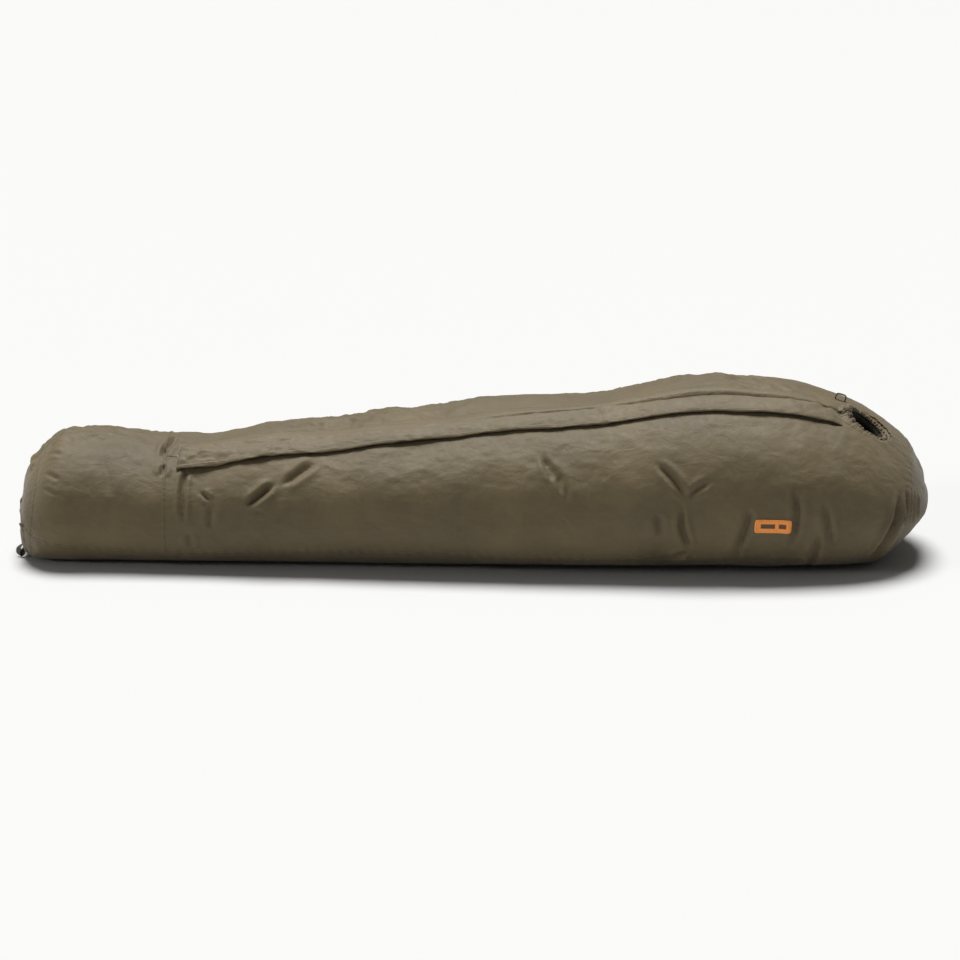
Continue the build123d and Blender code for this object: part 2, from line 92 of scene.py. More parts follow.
TARGET = Vector((0.0119, 0, 0.1718))
DISTANCE = 9.0
VIEW_WIDE = 2.275
camera = bpy.data.objects.new("camera", bpy.data.cameras.new("camera"))
camera.data.sensor_width = 36
camera.data.lens = 36 * DISTANCE / VIEW_WIDE
camera.location = TARGET + DISTANCE * Vector((0, -math.cos(TILT), math.sin(TILT)))
camera.rotation_euler = (TARGET - camera.location).to_track_quat("-Z", "Y").to_euler()
bpy.context.scene.collection.objects.link(camera)
bpy.context.scene.camera = camera

# ---------------------------------------------------------------- materials


def colour(code):
    """An sRGB hex colour as linear RGBA."""
    parts = [int(code[i : i + 2], 16) / 255 for i in (1, 3, 5)]
    return (*[p / 12.92 if p <= 0.04045 else ((p + 0.055) / 1.055) ** 2.4 for p in parts], 1.0)


def add(tree, kind, own=None, **inputs):
    """Adds a node with its own settings; inputs are values or other nodes' sockets, by name, or by place
    as i0, i1."""
    made = tree.nodes.new(kind)
    for key, value in (own or {}).items():
        setattr(made, key, value)
    for key, value in inputs.items():
        by_place = key[0] == "i" and key[1:].isdigit()
        socket = made.inputs[int(key[1:])] if by_place else made.inputs[key.replace("_", " ")]
        if isinstance(value, bpy.types.NodeSocket):
            tree.links.new(value, socket)
        else:
            socket.default_value = value
    return made


def blank(name):
    """A new material with an empty tree."""
    made = bpy.data.materials.new(name)
    made.use_nodes = True
    made.node_tree.nodes.clear()
    return made, made.node_tree


def wave_scale(period):
    """The scale at which a wave texture repeats once in a period given in metres."""
    return math.pi / 10 / period


BANDS = {axis: {"wave_type": "BANDS", "bands_direction": axis, "wave_profile": "SIN"} for axis in "XYZ"}
COLOURS = {"data_type": "RGBA", "blend_type": "MIX"}
TIMES = {"operation": "MULTIPLY"}


def cloth(name, light, dark, thread, crinkle, rough, sheen, rip=0.0):
    """Woven, coated cloth: a plain weave, a soft crinkle, cloudy colour and a matt coating."""
    made, tree = blank(name)
    place = add(tree, "ShaderNodeTexCoord")
    uv, spot = place.outputs["UV"], place.outputs["Object"]
    warp, weft = [add(tree, "ShaderNodeTexWave", BANDS[k], Vector=uv, Scale=wave_scale(thread)) for k in "XY"]
    weave = add(tree, "ShaderNodeMath", TIMES, i0=warp.outputs["Fac"], i1=weft.outputs["Fac"])
    cloud = add(tree, "ShaderNodeTexNoise", Vector=spot, Scale=5.0, Detail=4.0, Roughness=0.6)
    fine = add(
        tree, "ShaderNodeTexNoise", Vector=spot, Scale=85.0, Detail=5.0, Roughness=0.62, Distortion=0.5
    )
    stretch = add(tree, "ShaderNodeMapping", Vector=spot, Scale=(0.6, 1.0, 1.0))
    soft = add(
        tree, "ShaderNodeTexNoise", Vector=stretch.outputs[0], Scale=24.0, Detail=4.0, Roughness=0.55,
        Distortion=0.9
    )
    tone = add(tree, "ShaderNodeMapRange", Value=cloud.outputs["Fac"], i1=0.3, i2=0.7, i3=0.0, i4=1.0)
    speck = add(tree, "ShaderNodeMapRange", Value=fine.outputs["Fac"], i1=0.3, i2=0.7, i3=-0.16, i4=0.16)
    both = add(
        tree, "ShaderNodeMath", {"operation": "ADD", "use_clamp": True}, i0=tone.outputs[0], i1=speck.outputs[
            0
        ]
    )
    base = add(
        tree, "ShaderNodeMix", COLOURS, i0=both.outputs[0], i6=colour(dark), i7=colour(light)
    ).outputs[2]
    if rip:
        thick, across = [
            add(tree, "ShaderNodeTexWave", BANDS[k], Vector=uv, Scale=wave_scale(rip)) for k in "XY"
        ]
        most = add(
            tree, "ShaderNodeMath", {"operation": "MAXIMUM"}, i0=thick.outputs["Fac"], i1=across.outputs[
                "Fac"
            ]
        )
        line = add(tree, "ShaderNodeMapRange", Value=most.outputs[0], i1=0.96, i2=1.0, i3=0.0, i4=0.22)
        base = add(tree, "ShaderNodeMix", COLOURS, i0=line.outputs[0], i6=base, i7=colour(light)).outputs[2]
    matt = add(
        tree, "ShaderNodeMapRange", Value=fine.outputs["Fac"], i1=0.3, i2=0.7, i3=rough - 0.07,
        i4=rough + 0.07
    )
    low = add(tree, "ShaderNodeBump", Height=soft.outputs["Fac"], Distance=0.005 * crinkle, Strength=0.6)
    mid = add(
        tree,
        "ShaderNodeBump",
        Height=fine.outputs["Fac"],
        Distance=0.0012 * crinkle,
        Strength=0.6,
        Normal=low.outputs[0],
    )
    top = add(
        tree, "ShaderNodeBump", Height=weave.outputs[0], Distance=0.25 * thread, Strength=0.35,
        Normal=mid.outputs[
            0
        ]
    )
    shader = add(
        tree,
        "ShaderNodeBsdfPrincipled",
        Base_Color=base,
        Roughness=matt.outputs[0],
        Normal=top.outputs[0],
        Sheen_Weight=sheen,
        Sheen_Roughness=0.5,
        Specular_IOR_Level=0.35,
    )
    add(tree, "ShaderNodeOutputMaterial", Surface=shader.outputs[0])
    return made


def metal(name, tint, rough, grain):
    """Cast or drawn metal with a fine tumbled grain."""
    made, tree = blank(name)
    spot = add(tree, "ShaderNodeTexCoord").outputs["Object"]
    dust = add(tree, "ShaderNodeTexNoise", Vector=spot, Scale=1 / grain, Detail=3.0)
    smear = add(tree, "ShaderNodeTexNoise", Vector=spot, Scale=180.0, Detail=2.0)
    shine = add(
        tree, "ShaderNodeMapRange", Value=smear.outputs["Fac"], i1=0.3, i2=0.7, i3=rough - 0.08,
        i4=rough + 0.1
    )
    base = add(
        tree, "ShaderNodeMix", COLOURS, i0=smear.outputs["Fac"], i6=colour(tint), i7=colour("#3a3936")
    ).outputs[2]
    bump = add(tree, "ShaderNodeBump", Height=dust.outputs["Fac"], Distance=0.0001, Strength=0.3)
    shader = add(
        tree,
        "ShaderNodeBsdfPrincipled",
        Base_Color=base,
        Metallic=1.0,
        Roughness=shine.outputs[0],
        Normal=bump.outputs[0],
    )
    add(tree, "ShaderNodeOutputMaterial", Surface=shader.outputs[0])
    return made


def moulded(name, tint, rough):
    """Moulded acetal with a fine spark-eroded grain."""
    made, tree = blank(name)
    spot = add(tree, "ShaderNodeTexCoord").outputs["Object"]
    grain = add(tree, "ShaderNodeTexNoise", Vector=spot, Scale=2500.0, Detail=2.0)
    wear = add(tree, "ShaderNodeTexNoise", Vector=spot, Scale=140.0, Detail=3.0)
    base = add(
        tree, "ShaderNodeMix", COLOURS, i0=wear.outputs["Fac"], i6=colour(tint), i7=colour("#2f2e2a")
    ).outputs[2]
    bump = add(tree, "ShaderNodeBump", Height=grain.outputs["Fac"], Distance=0.0001, Strength=0.25)
    shine = add(
        tree, "ShaderNodeMapRange", Value=wear.outputs["Fac"], i1=0.3, i2=0.7, i3=rough - 0.06,
        i4=rough + 0.08
    )
    shader = add(
        tree, "ShaderNodeBsdfPrincipled", Base_Color=base, Roughness=shine.outputs[0], Normal=bump.outputs[0]
    )
    add(tree, "ShaderNodeOutputMaterial", Surface=shader.outputs[0])
    return made


def woven(name, light, dark, rib, coordinate="UV"):
    """Woven nylon tape or braided cord: ribs across its length, flecked with a second shade."""
    made, tree = blank(name)
    place = add(tree, "ShaderNodeTexCoord")
    spot = place.outputs[coordinate]
    ribs = add(tree, "ShaderNodeTexWave", BANDS["X"], Vector=spot, Scale=wave_scale(rib))
    cross = add(tree, "ShaderNodeTexWave", BANDS["Y"], Vector=spot, Scale=wave_scale(0.7 * rib))
    fleck = add(tree, "ShaderNodeTexNoise", Vector=place.outputs["Object"], Scale=700.0, Detail=2.0)
    knit = add(tree, "ShaderNodeMath", TIMES, i0=ribs.outputs["Fac"], i1=cross.outputs["Fac"])
    share = add(tree, "ShaderNodeMath", TIMES, i0=knit.outputs[0], i1=fleck.outputs["Fac"])
    base = add(
        tree, "ShaderNodeMix", COLOURS, i0=share.outputs[0], i6=colour(dark), i7=colour(light)
    ).outputs[2]
    bump = add(tree, "ShaderNodeBump", Height=knit.outputs[0], Distance=0.35 * rib, Strength=0.7)
    matt = add(tree, "ShaderNodeMapRange", Value=fleck.outputs["Fac"], i1=0.3, i2=0.7, i3=0.6, i4=0.8)
    shader = add(
        tree,
        "ShaderNodeBsdfPrincipled",
        Base_Color=base,
        Roughness=matt.outputs[0],
        Normal=bump.outputs[0],
        Sheen_Weight=0.2,
    )
    add(tree, "ShaderNodeOutputMaterial", Surface=shader.outputs[0])
    return made


# Three-layer waterproof nylon: dull olive brown, a fine plain weave drawn at 1.1 mm so that it shows, soft
# crinkles.
SHELL = cloth("coated_nylon_olive", "#66593d", "#564b34", 0.0011, 1.0, 0.62, 0.12)
# The flap is the same nylon, single and unlaminated, so that it crinkles more; it is painted a shade lighter
# than the shell so that it looks more lit, which is painted light.
FLAP = cloth("flap_nylon_olive_painted_lighter", "#695c41", "#5c5038", 0.0011, 1.2, 0.6, 0.13)
# Heavier floor nylon, a shade darker, with a urethane coat.
FLOOR = cloth("floor_nylon_dark_olive", "#62553b", "#544932", 0.0014, 0.7, 0.58, 0.1, 0.006)
# The inside of the laminate: a matt film painted dark, as painted shade inside the face opening, and seen
# only through it.
LINING_PAINTED_SHADE = cloth("laminate_backing_painted_shade", "#2b261c", "#211d15", 0.0011, 0.8, 0.6, 0.1)
# Heat-welded polyurethane seam tape over the stitching, smooth and a little shiny.
WELDED = cloth("seam_tape_polyurethane", "#5d5443", "#514937", 0.0009, 0.4, 0.42, 0.05)
# Coil zip tape: knitted polyester with a fine rib, near black brown.
ZIP_TAPE = woven("zip_tape_polyester", "#4f4737", "#332d22", 0.0009)
# Zip coil: nylon monofilament, dark and glossier than its tape.
ZIP_COIL = moulded("zip_coil_nylon", "#3b352a", 0.38)
# Die-cast zinc slider, tumbled and painted dull bronze.
ZINC = metal("zinc_slider_bronze", "#8d8676", 0.42, 0.0006)
# Turned aluminium eyelet, satin.
EYELET = metal("aluminium_eyelet_satin", "#9a9688", 0.3, 0.0004)
# Drawn spring steel wire.
SPRING = metal("spring_steel_drawn", "#a9a7a0", 0.25, 0.0003)
# Cord lock: acetal moulding, fine matt grain.
LOCK = moulded("cord_lock_acetal", "#26241f", 0.45)
# Braided polyester drawcord, dark olive with a lighter fleck.
BRAID = woven("drawcord_braid", "#6d6450", "#463f30", 0.0012, "Object")
# Nylon webbing, ribbed across its length, dark olive.
WEBBING = woven("nylon_webbing_olive", "#484330", "#2c2919", 0.0018)
# Bonded polyester thread, one shade paler than the cloth.
THREAD = woven("bonded_thread", "#8f846c", "#6d634e", 0.0006, "Object")


def label_cloth():
    """Woven satin label: orange ground and two plain printed bars that say nothing."""
    made, tree = blank("woven_label_orange")
    place = add(tree, "ShaderNodeTexCoord")
    uv = place.outputs["UV"]
    warp = add(tree, "ShaderNodeTexWave", BANDS["X"], Vector=uv, Scale=wave_scale(0.0009))
    weft = add(tree, "ShaderNodeTexWave", BANDS["Y"], Vector=uv, Scale=wave_scale(0.0012))
    weave = add(tree, "ShaderNodeMath", TIMES, i0=warp.outputs["Fac"], i1=weft.outputs["Fac"])
    fleck = add(tree, "ShaderNodeTexNoise", Vector=place.outputs["Object"], Scale=90.0, Detail=3.0)
    base = add(
        tree, "ShaderNodeMix", COLOURS, i0=fleck.outputs["Fac"], i6=colour("#f98f33"), i7=colour("#ffa24a")
    ).outputs[2]
    split = add(tree, "ShaderNodeSeparateXYZ", Vector=uv)
    for middle_x, middle_y, half_x, half_y in LABEL_BARS:
        inside = []
        for axis, middle, half in ((0, middle_x, half_x), (1, middle_y, half_y)):
            off = add(tree, "ShaderNodeMath", {"operation": "SUBTRACT"}, i0=split.outputs[axis], i1=middle)
            size = add(tree, "ShaderNodeMath", {"operation": "ABSOLUTE"}, i0=off.outputs[0])
            inside.append(
                add(
                    tree, "ShaderNodeMapRange", Value=size.outputs[0], i1=half, i2=half + 0.0012, i3=1.0,
                    i4=0.0
                )
            )
        bar = add(tree, "ShaderNodeMath", TIMES, i0=inside[0].outputs[0], i1=inside[1].outputs[0])
        base = add(
            tree, "ShaderNodeMix", COLOURS, i0=bar.outputs[0], i6=base, i7=colour("#5a3d1c")
        ).outputs[2]
    bump = add(tree, "ShaderNodeBump", Height=weave.outputs[0], Distance=0.0003, Strength=0.5)
    matt = add(tree, "ShaderNodeMapRange", Value=fleck.outputs["Fac"], i1=0.3, i2=0.7, i3=0.5, i4=0.65)
    shader = add(
        tree,
        "ShaderNodeBsdfPrincipled",
        Base_Color=base,
        Roughness=matt.outputs[0],
        Normal=bump.outputs[0],
        Sheen_Weight=0.15,
    )
    add(tree, "ShaderNodeOutputMaterial", Surface=shader.outputs[0])
    return made


# Plain bars woven into the label: middle and half sizes from the label's own centre.
LABEL_BARS = ((-0.012, 0.0, 0.016, 0.005), (0.022, 0.0, 0.008, 0.005))
LABEL = label_cloth()

# ---------------------------------------------------------------- meshes


def build(name, points, faces, material, uvs=None):
    """A smooth-shaded object from points and faces, with a UV for each point."""
    mesh = bpy.data.meshes.new(name)
    mesh.from_pydata([tuple(p) for p in points], [], [tuple(int(i) for i in f) for f in faces])
    if uvs is not None:
        layer = mesh.uv_layers.new(name="cloth")
        index = np.zeros(len(mesh.loops), np.int64)
        mesh.loops.foreach_get("vertex_index", index)
        layer.data.foreach_set("uv", np.asarray(uvs, float)[index].astype(np.float32).ravel())
    mesh.materials.append(material)
    mesh.polygons.foreach_set("use_smooth", [True] * len(mesh.polygons))
    mesh.update()
    obj = bpy.data.objects.new(name, mesh)
    bpy.context.scene.collection.objects.link(obj)
    return obj


def settle(obj):
    """Applies an object's modifiers to its mesh."""
    graph = bpy.context.evaluated_depsgraph_get()
    graph.update()
    mesh = bpy.data.meshes.new_from_object(obj.evaluated_get(graph))
    obj.modifiers.clear()
    obj.data = mesh
    return obj


def thicken(obj, thick):
    """Gives a single-layer cloth its thickness."""
    wall = obj.modifiers.new("wall", "SOLIDIFY")
    wall.thickness, wall.offset, wall.use_even_offset = thick, -1.0, False
    return settle(obj)


def merge(obj):
    """Merges doubled points."""
    weld = obj.modifiers.new("weld", "WELD")
    weld.merge_threshold = 0.00002
    return settle(obj)


def quads(rows, columns, closed=False, keep=None, flip=False):
    """Faces of a grid of points stored row by row; keep is a mask of its cells."""
    last = columns if closed else columns - 1
    i, j = np.meshgrid(np.arange(rows - 1), np.arange(last), indexing="ij")
    if keep is not None:
        i, j = i[keep], j[keep]
    i, j = i.ravel(), j.ravel()
    k = (j + 1) % columns
    made = np.stack([i * columns + j, i * columns + k, (i + 1) * columns + k, (i + 1) * columns + j], axis=1)
    return made[:, ::-1] if flip else made


def tube(points, radius, sides):
    """Points and faces of a round tube along a closed line of points."""
    points = np.asarray(points, float)
    ahead = np.roll(points, -1, 0) - np.roll(points, 1, 0)
    ahead /= np.linalg.norm(ahead, axis=1)[:, None]
    side = np.cross(ahead, (0.31, 0.17, 0.93))
    side /= np.linalg.norm(side, axis=1)[:, None]
    up = np.cross(side, ahead)
    angles = 2 * math.pi * np.arange(sides) / sides
    round_it = np.cos(angles)[None, :, None] * side[:, None] + np.sin(angles)[None, :, None] * up[:, None]
    rings = points[:, None] + radius * round_it
    count = len(points)
    faces = quads(count, sides, True).tolist()
    last = (count - 1) * sides
    faces += [[last + k, last + (k + 1) % sides, (k + 1) % sides, k] for k in range(sides)]
    return rings.reshape(-1, 3), faces


# ---------------------------------------------------------------- the skin, read from the frame


def tree_of(names):
    """A search tree over some CAD nodes' meshes."""
    points, faces = [], []
    for name in names:
        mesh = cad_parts[name].data
        start = len(points)
        points += [v.co.copy() for v in mesh.vertices]
        faces += [[start + i for i in p.vertices] for p in mesh.polygons]
    return BVHTree.FromPolygons(points, faces)


skin_tree = tree_of(
    ["floor_panel", "foot_end_panel", "hood_end_panel", "foot_sleeve", "left_side_panel", "crown_panel"]
)
FAR = 0.8


def reach(centre, direction):
    """How far the skin is from centre, along direction; none where an opening is."""
    start = centre + direction * FAR
    hit = skin_tree.ray_cast(start, -direction)[0]
    if hit is None:
        return math.nan
    found = (hit - centre).dot(direction)
    return found if found > 0.02 else math.nan


def lean_at(x):
    return float(np.interp(x, (FOOT_RIM, ANKLE, LEAN_STARTS, HOOD_RIM), (FOOT_LEAN, 0, 0, HOOD_LEAN)))


RAYS, ARC_POINTS = 360, 260
RING_APART = 0.009
SEAM_NUDGE = 0.0004


def sample_rings(positions):
    """Polar reach of the skin at each ring, with the openings filled from their edges."""
    turns = np.arange(RAYS) * 2 * math.pi / RAYS
    table, centres, ups = [], [], []
    for x in positions:
        centre = Vector((x, 0, float(np.interp(x, *zip(*PIVOTS)))))
        up = Vector((lean_at(x), 0, 1)).normalized()
        table.append([reach(centre, math.cos(t) * Vector((0, 1, 0)) + math.sin(t) * up) for t in turns])
        centres.append(centre)
        ups.append(up)
    table = np.array(table)
    lost = np.isnan(table)
    around, along = table.copy(), table.copy()
    for row in range(len(table)):
        gap = np.isnan(table[row])
        if gap.any():
            around[row, gap] = np.interp(turns[gap], turns[~gap], table[row, ~gap], period=2 * math.pi)
    for column in range(RAYS):
        gap = np.isnan(table[:, column])
        if gap.any():
            along[gap, column] = np.interp(np.flatnonzero(gap), np.flatnonzero(~gap), table[~gap, column])
    table[lost] = 0.5 * (around[lost] + along[lost])
    return table, centres, ups


def even(points, count):
    """A line of points, spaced evenly."""
    steps = np.linalg.norm(np.diff(points, axis=0), axis=1)
    run = np.concatenate([[0], np.cumsum(steps)])
    wanted = np.linspace(0, run[-1], count)
    return np.stack([np.interp(wanted, run, points[:, k]) for k in range(3)], axis=1)


def crossing(turns, values, level):
    """The first turn at which values pass level."""
    sign = np.sign(values - level)
    at = int(np.flatnonzero(np.diff(sign) != 0)[0])
    part = (level - values[at]) / (values[at + 1] - values[at])
    return turns[at] + part * (turns[at + 1] - turns[at])


def ring(radii, centre, up):
    """One ring of the skin: up the left side, over the crown, and back under the floor."""
    angles = np.arange(RAYS) * 2 * math.pi / RAYS

    def line(start, end):
        turns = np.linspace(start, end, ARC_POINTS)
        r = np.interp(turns, angles, radii, period=2 * math.pi)
        side = np.stack([0 * turns, np.cos(turns), 0 * turns], axis=1)
        rise = np.sin(turns)[:, None] * np.array(up)
        return turns, np.array(centre) + r[:, None] * (side + rise)

    pi = math.pi
    turns, points = line(1.02 * pi, 1.45 * pi)
    left = crossing(turns, points[:, 2], FLOOR_SEAM)
    turns, points = line(0.99 * pi, 0.5 * pi)
    zip_turn = crossing(turns, points[:, 1], ZIP_Y)
    turns, points = line(-0.02 * pi, -0.45 * pi)
    right = crossing(turns, points[:, 2], FLOOR_SEAM)
    spans = (
        (left, zip_turn, LEFT_COLUMNS),
        (zip_turn, right, CROWN_COLUMNS),
        (right, left - 2 * pi, FLOOR_COLUMNS),
    )
    return np.concatenate([even(line(a, b)[1], count + 1)[:-1] for a, b, count in spans])


def respace(rings, step):
    """Rings spaced evenly along the skin."""
    steps = np.linalg.norm(np.diff(rings, axis=0), axis=2).mean(1)
    run = np.concatenate([[0], np.cumsum(steps)])
    count = 2 * round(run[-1] / step / 2)
    wanted = np.linspace(0, run[-1], count + 1)
    low = np.clip(np.searchsorted(run, wanted, side="right") - 1, 0, len(rings) - 2)
    part = ((wanted - run[low]) / (run[low + 1] - run[low]))[:, None, None]
    return rings[low] * (1 - part) + rings[low + 1] * part


def cap(rim, centre, out, step):
    """Rings from a rim to the middle of an end panel."""
    spokes = rim - np.array(centre)
    rings = []
    for share in np.concatenate([np.linspace(1, 0.8, 26), np.linspace(0.78, 0.0, 26)]):
        turn = min(1.0, (1 - share) / 0.2) * math.pi / 2
        row = []
        for spoke in spokes:
            length = float(np.linalg.norm(spoke))
            direction = Vector(spoke / length)
            foot = centre + direction * (min(0.8125 * share, share - 0.15) * length)
            ray = math.cos(turn) * direction + math.sin(turn) * out
            found = reach(foot, ray)
            row.append(foot + (found if found == found else 0.03) * ray)
        rings.append(row)
    rings = np.array(rings)
    rings[0] = rim
    rings[-1] = rings[-1].mean(0)
    return respace(rings, step)


def skin_grid():
    """All rings of the skin, foot to hood, and the rows where its seams run."""
    zones = (
        (FOOT_RIM, ANKLE, BODY_STEP), (ANKLE, LEAN_STARTS, BODY_STEP), (LEAN_STARTS, HOOD_RIM, HOOD_STEP)
    )
    made, ends = [], []
    for low, high, step in zones:
        positions = np.linspace(low + SEAM_NUDGE, high - SEAM_NUDGE, max(8, round((high - low) / RING_APART)))
        table, centres, ups = sample_rings(positions)
        rings = np.array([ring(r, c, u) for r, c, u in zip(table, centres, ups)])
        made.append(respace(rings, step))
        ends.append((centres[0], centres[-1]))
    foot_out = Vector((-1, 0, FOOT_LEAN)).normalized()
    hood_out = Vector((1, 0, -HOOD_LEAN)).normalized()
    foot = cap(made[0][0], ends[0][0], foot_out, CAP_STEP)[::-1]
    hood = cap(made[-1][-1], ends[-1][1], hood_out, CAP_STEP)
    rows = [foot, made[0][1:], made[1][1:], made[2][1:], hood[1:]]
    counts = np.cumsum([len(r) for r in rows])
    return np.concatenate(rows), counts[0] - 1, counts[1] - 1, counts[3] - 1


grid, FOOT_ROW, ANKLE_ROW, HOOD_ROW = skin_grid()
ROWS = len(grid)
ZIP_COLUMN, RIGHT_COLUMN = LEFT_COLUMNS, LEFT_COLUMNS + CROWN_COLUMNS
print("skin", grid.shape, FOOT_ROW, ANKLE_ROW, HOOD_ROW)


def normals(points):
    """Outward directions of the grid."""
    along = np.gradient(points, axis=0)
    around = np.roll(points, -1, 1) - np.roll(points, 1, 1)
    out = np.cross(along, around)
    out[0], out[-1] = (-1, 0, 0.1), (1, 0, -0.25)
    size = np.linalg.norm(out, axis=2)[:, :, None]
    out = out / np.maximum(size, 1e-12)
    middle = np.array((0, 0, 0.15))
    if (out[ROWS // 2] * (points[ROWS // 2] - middle)).sum() < 0:
        out = -out
        out[0], out[-1] = -out[0], -out[-1]
    return out


def blur(field, times):
    """Smooths a field over the grid, closed around the girth."""
    for _ in range(times):
        field = (np.roll(field, 1, 1) + 2 * field + np.roll(field, -1, 1)) / 4
        padded = np.concatenate([field[:1], field, field[-1:]])
        field = (padded[:-2] + 2 * padded[1:-1] + padded[2:]) / 4
    return field


def smooth(value, low, high):
    part = np.clip((value - low) / (high - low), 0, 1)
    return part * part * (3 - 2 * part)


def field_noise(points, scale, seed, octaves=2):
    """Gradient noise over the grid, from -1 to 1."""
    flat = (points.reshape(-1, 3) * np.array(scale) + seed * 11.7).tolist()
    made = np.array([noise.fractal(p, 1.0, 2.0, octaves) for p in flat])
    return made.reshape(points.shape[:-1])


row_run = np.concatenate([[0], np.cumsum(np.linalg.norm(np.diff(grid, axis=0), axis=2).mean(1))])
column_run = np.concatenate(
    [[0], np.cumsum(np.linalg.norm(np.roll(grid[ROWS // 2], -1, 0) - grid[ROWS // 2], axis=1))]
)


def seam_distance(points):
    """Distance of each grid point from the nearest seam, roughly, along the skin."""
    rows = np.min([np.abs(row_run - row_run[r]) for r in (FOOT_ROW, ANKLE_ROW, HOOD_ROW)], axis=0)
    columns = np.min(
        [np.abs(column_run[:-1] - column_run[c]) for c in (0, RIGHT_COLUMN)]
        + [np.abs(column_run[:-1] - column_run[-1])],
        axis=0,
    )
    return np.minimum(rows[:, None], columns[None, :])


SEAM_AWAY = seam_distance(grid)
ZIP_AWAY = np.hypot(
    grid[:, :, 1] - ZIP_Y, np.maximum(0, np.maximum(ZIP_FOOT - grid[:, :, 0], grid[:, :, 0] - ZIP_HEAD))
)
ZIP_AWAY = np.where(grid[:, :, 2] > 0.15, ZIP_AWAY, 1.0)


def face_coordinates(points):
    """Local place about the face opening: share of its oval, turn round it, and height over its plane."""
    away = points - np.array(FACE_ORIGIN)
    a, b = away @ np.array(FACE_ALONG), away @ np.array(FACE_ACROSS)
    turn = np.arctan2(b / FACE_WIDE, a / FACE_LONG)
    return np.hypot(a / FACE_LONG, b / FACE_WIDE), turn, away @ np.array(FACE_OUT)


def pleats(turn):
    """Height of the gathers round the face opening, from 0 to 1, and how deep they are there."""
    wave = 0.5 + 0.5 * np.sin(21 * turn + 1.4 * np.sin(3 * turn) + 0.9 * np.sin(5 * turn + 1.1))
    second = 0.5 + 0.5 * np.sin(34 * turn + 2.0 * np.sin(2 * turn + 0.5))
    toward_foot = np.exp(-(((np.abs(turn) - math.pi) / 0.55) ** 2))
    toward_head = np.exp(-((turn / 0.6) ** 2))
    return 0.7 * wave**0.8 + 0.3 * second, 1 + 1.0 * toward_foot + 0.7 * toward_head


# ---------------------------------------------------------------- how the cloth lies


def profile(points):
    """The filling's lumps: the crest stands higher or lower than the sewn shape along its length."""
    x, y, z = points[:, :, 0], points[:, :, 1], points[:, :, 2]
    lift = np.interp(
        x,
        (-1.0, -0.88, -0.70, -0.60, -0.50, -0.30, -0.10, 0.01, 0.10, 0.20, 0.30, 0.42, 0.60, 0.75, 0.9),
        (0, 0.004, -0.002, -0.011, -0.002, 0.003, 0.008, 0.012, 0.006, 0.001, -0.006, -0.002, 0.001, 0, 0),
    )
    weight = smooth(y, -0.085, 0.0) * smooth(z, 0.18, 0.27)
    made = points.copy()
    made[:, :, 2] += lift * weight
    half = np.abs(y).max(1)[:, None]
    rise = np.interp(x, *zip(*LOW_EDGE)) * (1 - smooth(z, 0.03, 0.16)) * smooth(np.abs(y) / half, 0.55, 0.95)
    made[:, :, 2] += np.where(y < 0, rise, 0.7 * np.roll(rise, 9, 0))
    return made


# Where the lower edge stands off the ground between the places that bear on it: x, then how high.
LOW_EDGE = (
    (-1.06, 0.034), (-1.03, 0.026), (-0.99, 0.017), (-0.93, 0.009), (-0.86, 0.005), (
        -0.78, 0.002
    ), (-0.60, 0.002),
    (-0.45, 0.010), (-0.30, 0.013), (-0.10, 0.012), (0.0, 0.008), (0.10, 0.003), (0.33, 0.003), (0.38, 0.008),
    (0.43, 0.017), (0.49, 0.007), (0.58, 0.008), (0.63, 0.015), (0.72, 0.010), (0.78, 0.005), (0.85, 0.006),
    (0.92, 0.012), (0.98, 0.018), (1.03, 0.024),
)


def drape(points, out):
    """Cloth simulation of the sewn shell: a little longer than the filling needs, pinned at its seams."""
    step = 2
    coarse = points[::step, ::step]
    rows, columns = coarse.shape[:2]
    start = coarse + 0.0006 * field_noise(coarse, (60, 60, 60), 3)[:, :, None] * out[::step, ::step]
    obj = build("sim_shell", start.reshape(-1, 3), quads(rows, columns, True), SHELL)
    group = obj.vertex_groups.new(name="sewn")
    hold = (SEAM_AWAY[::step, ::step] < 0.008) | (ZIP_AWAY[::step, ::step] < 0.022) | (
        coarse[:, :, 2] < 0.004
    )
    share, _, height = face_coordinates(coarse)
    hold |= (share < 1.5) & (np.abs(height) < 0.05)
    hold[0], hold[-1] = True, True
    group.add([int(i) for i in np.flatnonzero(hold.ravel())], 1.0, "REPLACE")
    hang = obj.modifiers.new("cloth", "CLOTH")
    settings = hang.settings
    settings.quality = 5
    settings.mass = 0.12
    settings.tension_stiffness, settings.compression_stiffness = 18, 18
    settings.shear_stiffness, settings.bending_stiffness = 6, 0.25
    settings.shrink_min = settings.shrink_max = -0.055
    settings.use_pressure = True
    settings.uniform_pressure_force = 1.2
    settings.vertex_group_mass = "sewn"
    settings.effector_weights.gravity = 0.35
    hang.collision_settings.use_collision = False
    scene = bpy.context.scene
    for number in range(1, 19):
        scene.frame_set(number)
    graph = bpy.context.evaluated_depsgraph_get()
    data = obj.evaluated_get(graph).data
    moved = np.zeros(len(data.vertices) * 3)
    data.vertices.foreach_get("co", moved)
    moved = moved.reshape(rows, columns, 3) - coarse
    scene.frame_set(1)
    bpy.data.objects.remove(obj)
    moved -= blur(moved, 60)
    size = np.linalg.norm(moved, axis=2)[:, :, None]
    print("drape moves", float(size.mean()), float(size.max()))
    moved *= DRAPE_MOST * np.tanh(size / DRAPE_MOST) / np.maximum(size, 1e-9)
    full = np.zeros(points.shape)
    at = np.arange(points.shape[0]) / step
    low = np.clip(at.astype(int), 0, rows - 2)
    part = np.clip(at - low, 0, 1)[:, None, None]
    wide = moved[low] * (1 - part) + moved[low + 1] * part
    full[:, ::2] = wide
    full[:, 1::2] = (wide + np.roll(wide, -1, 1)) / 2
    return blur(full, 1)


DRAPE_MOST = 0.009

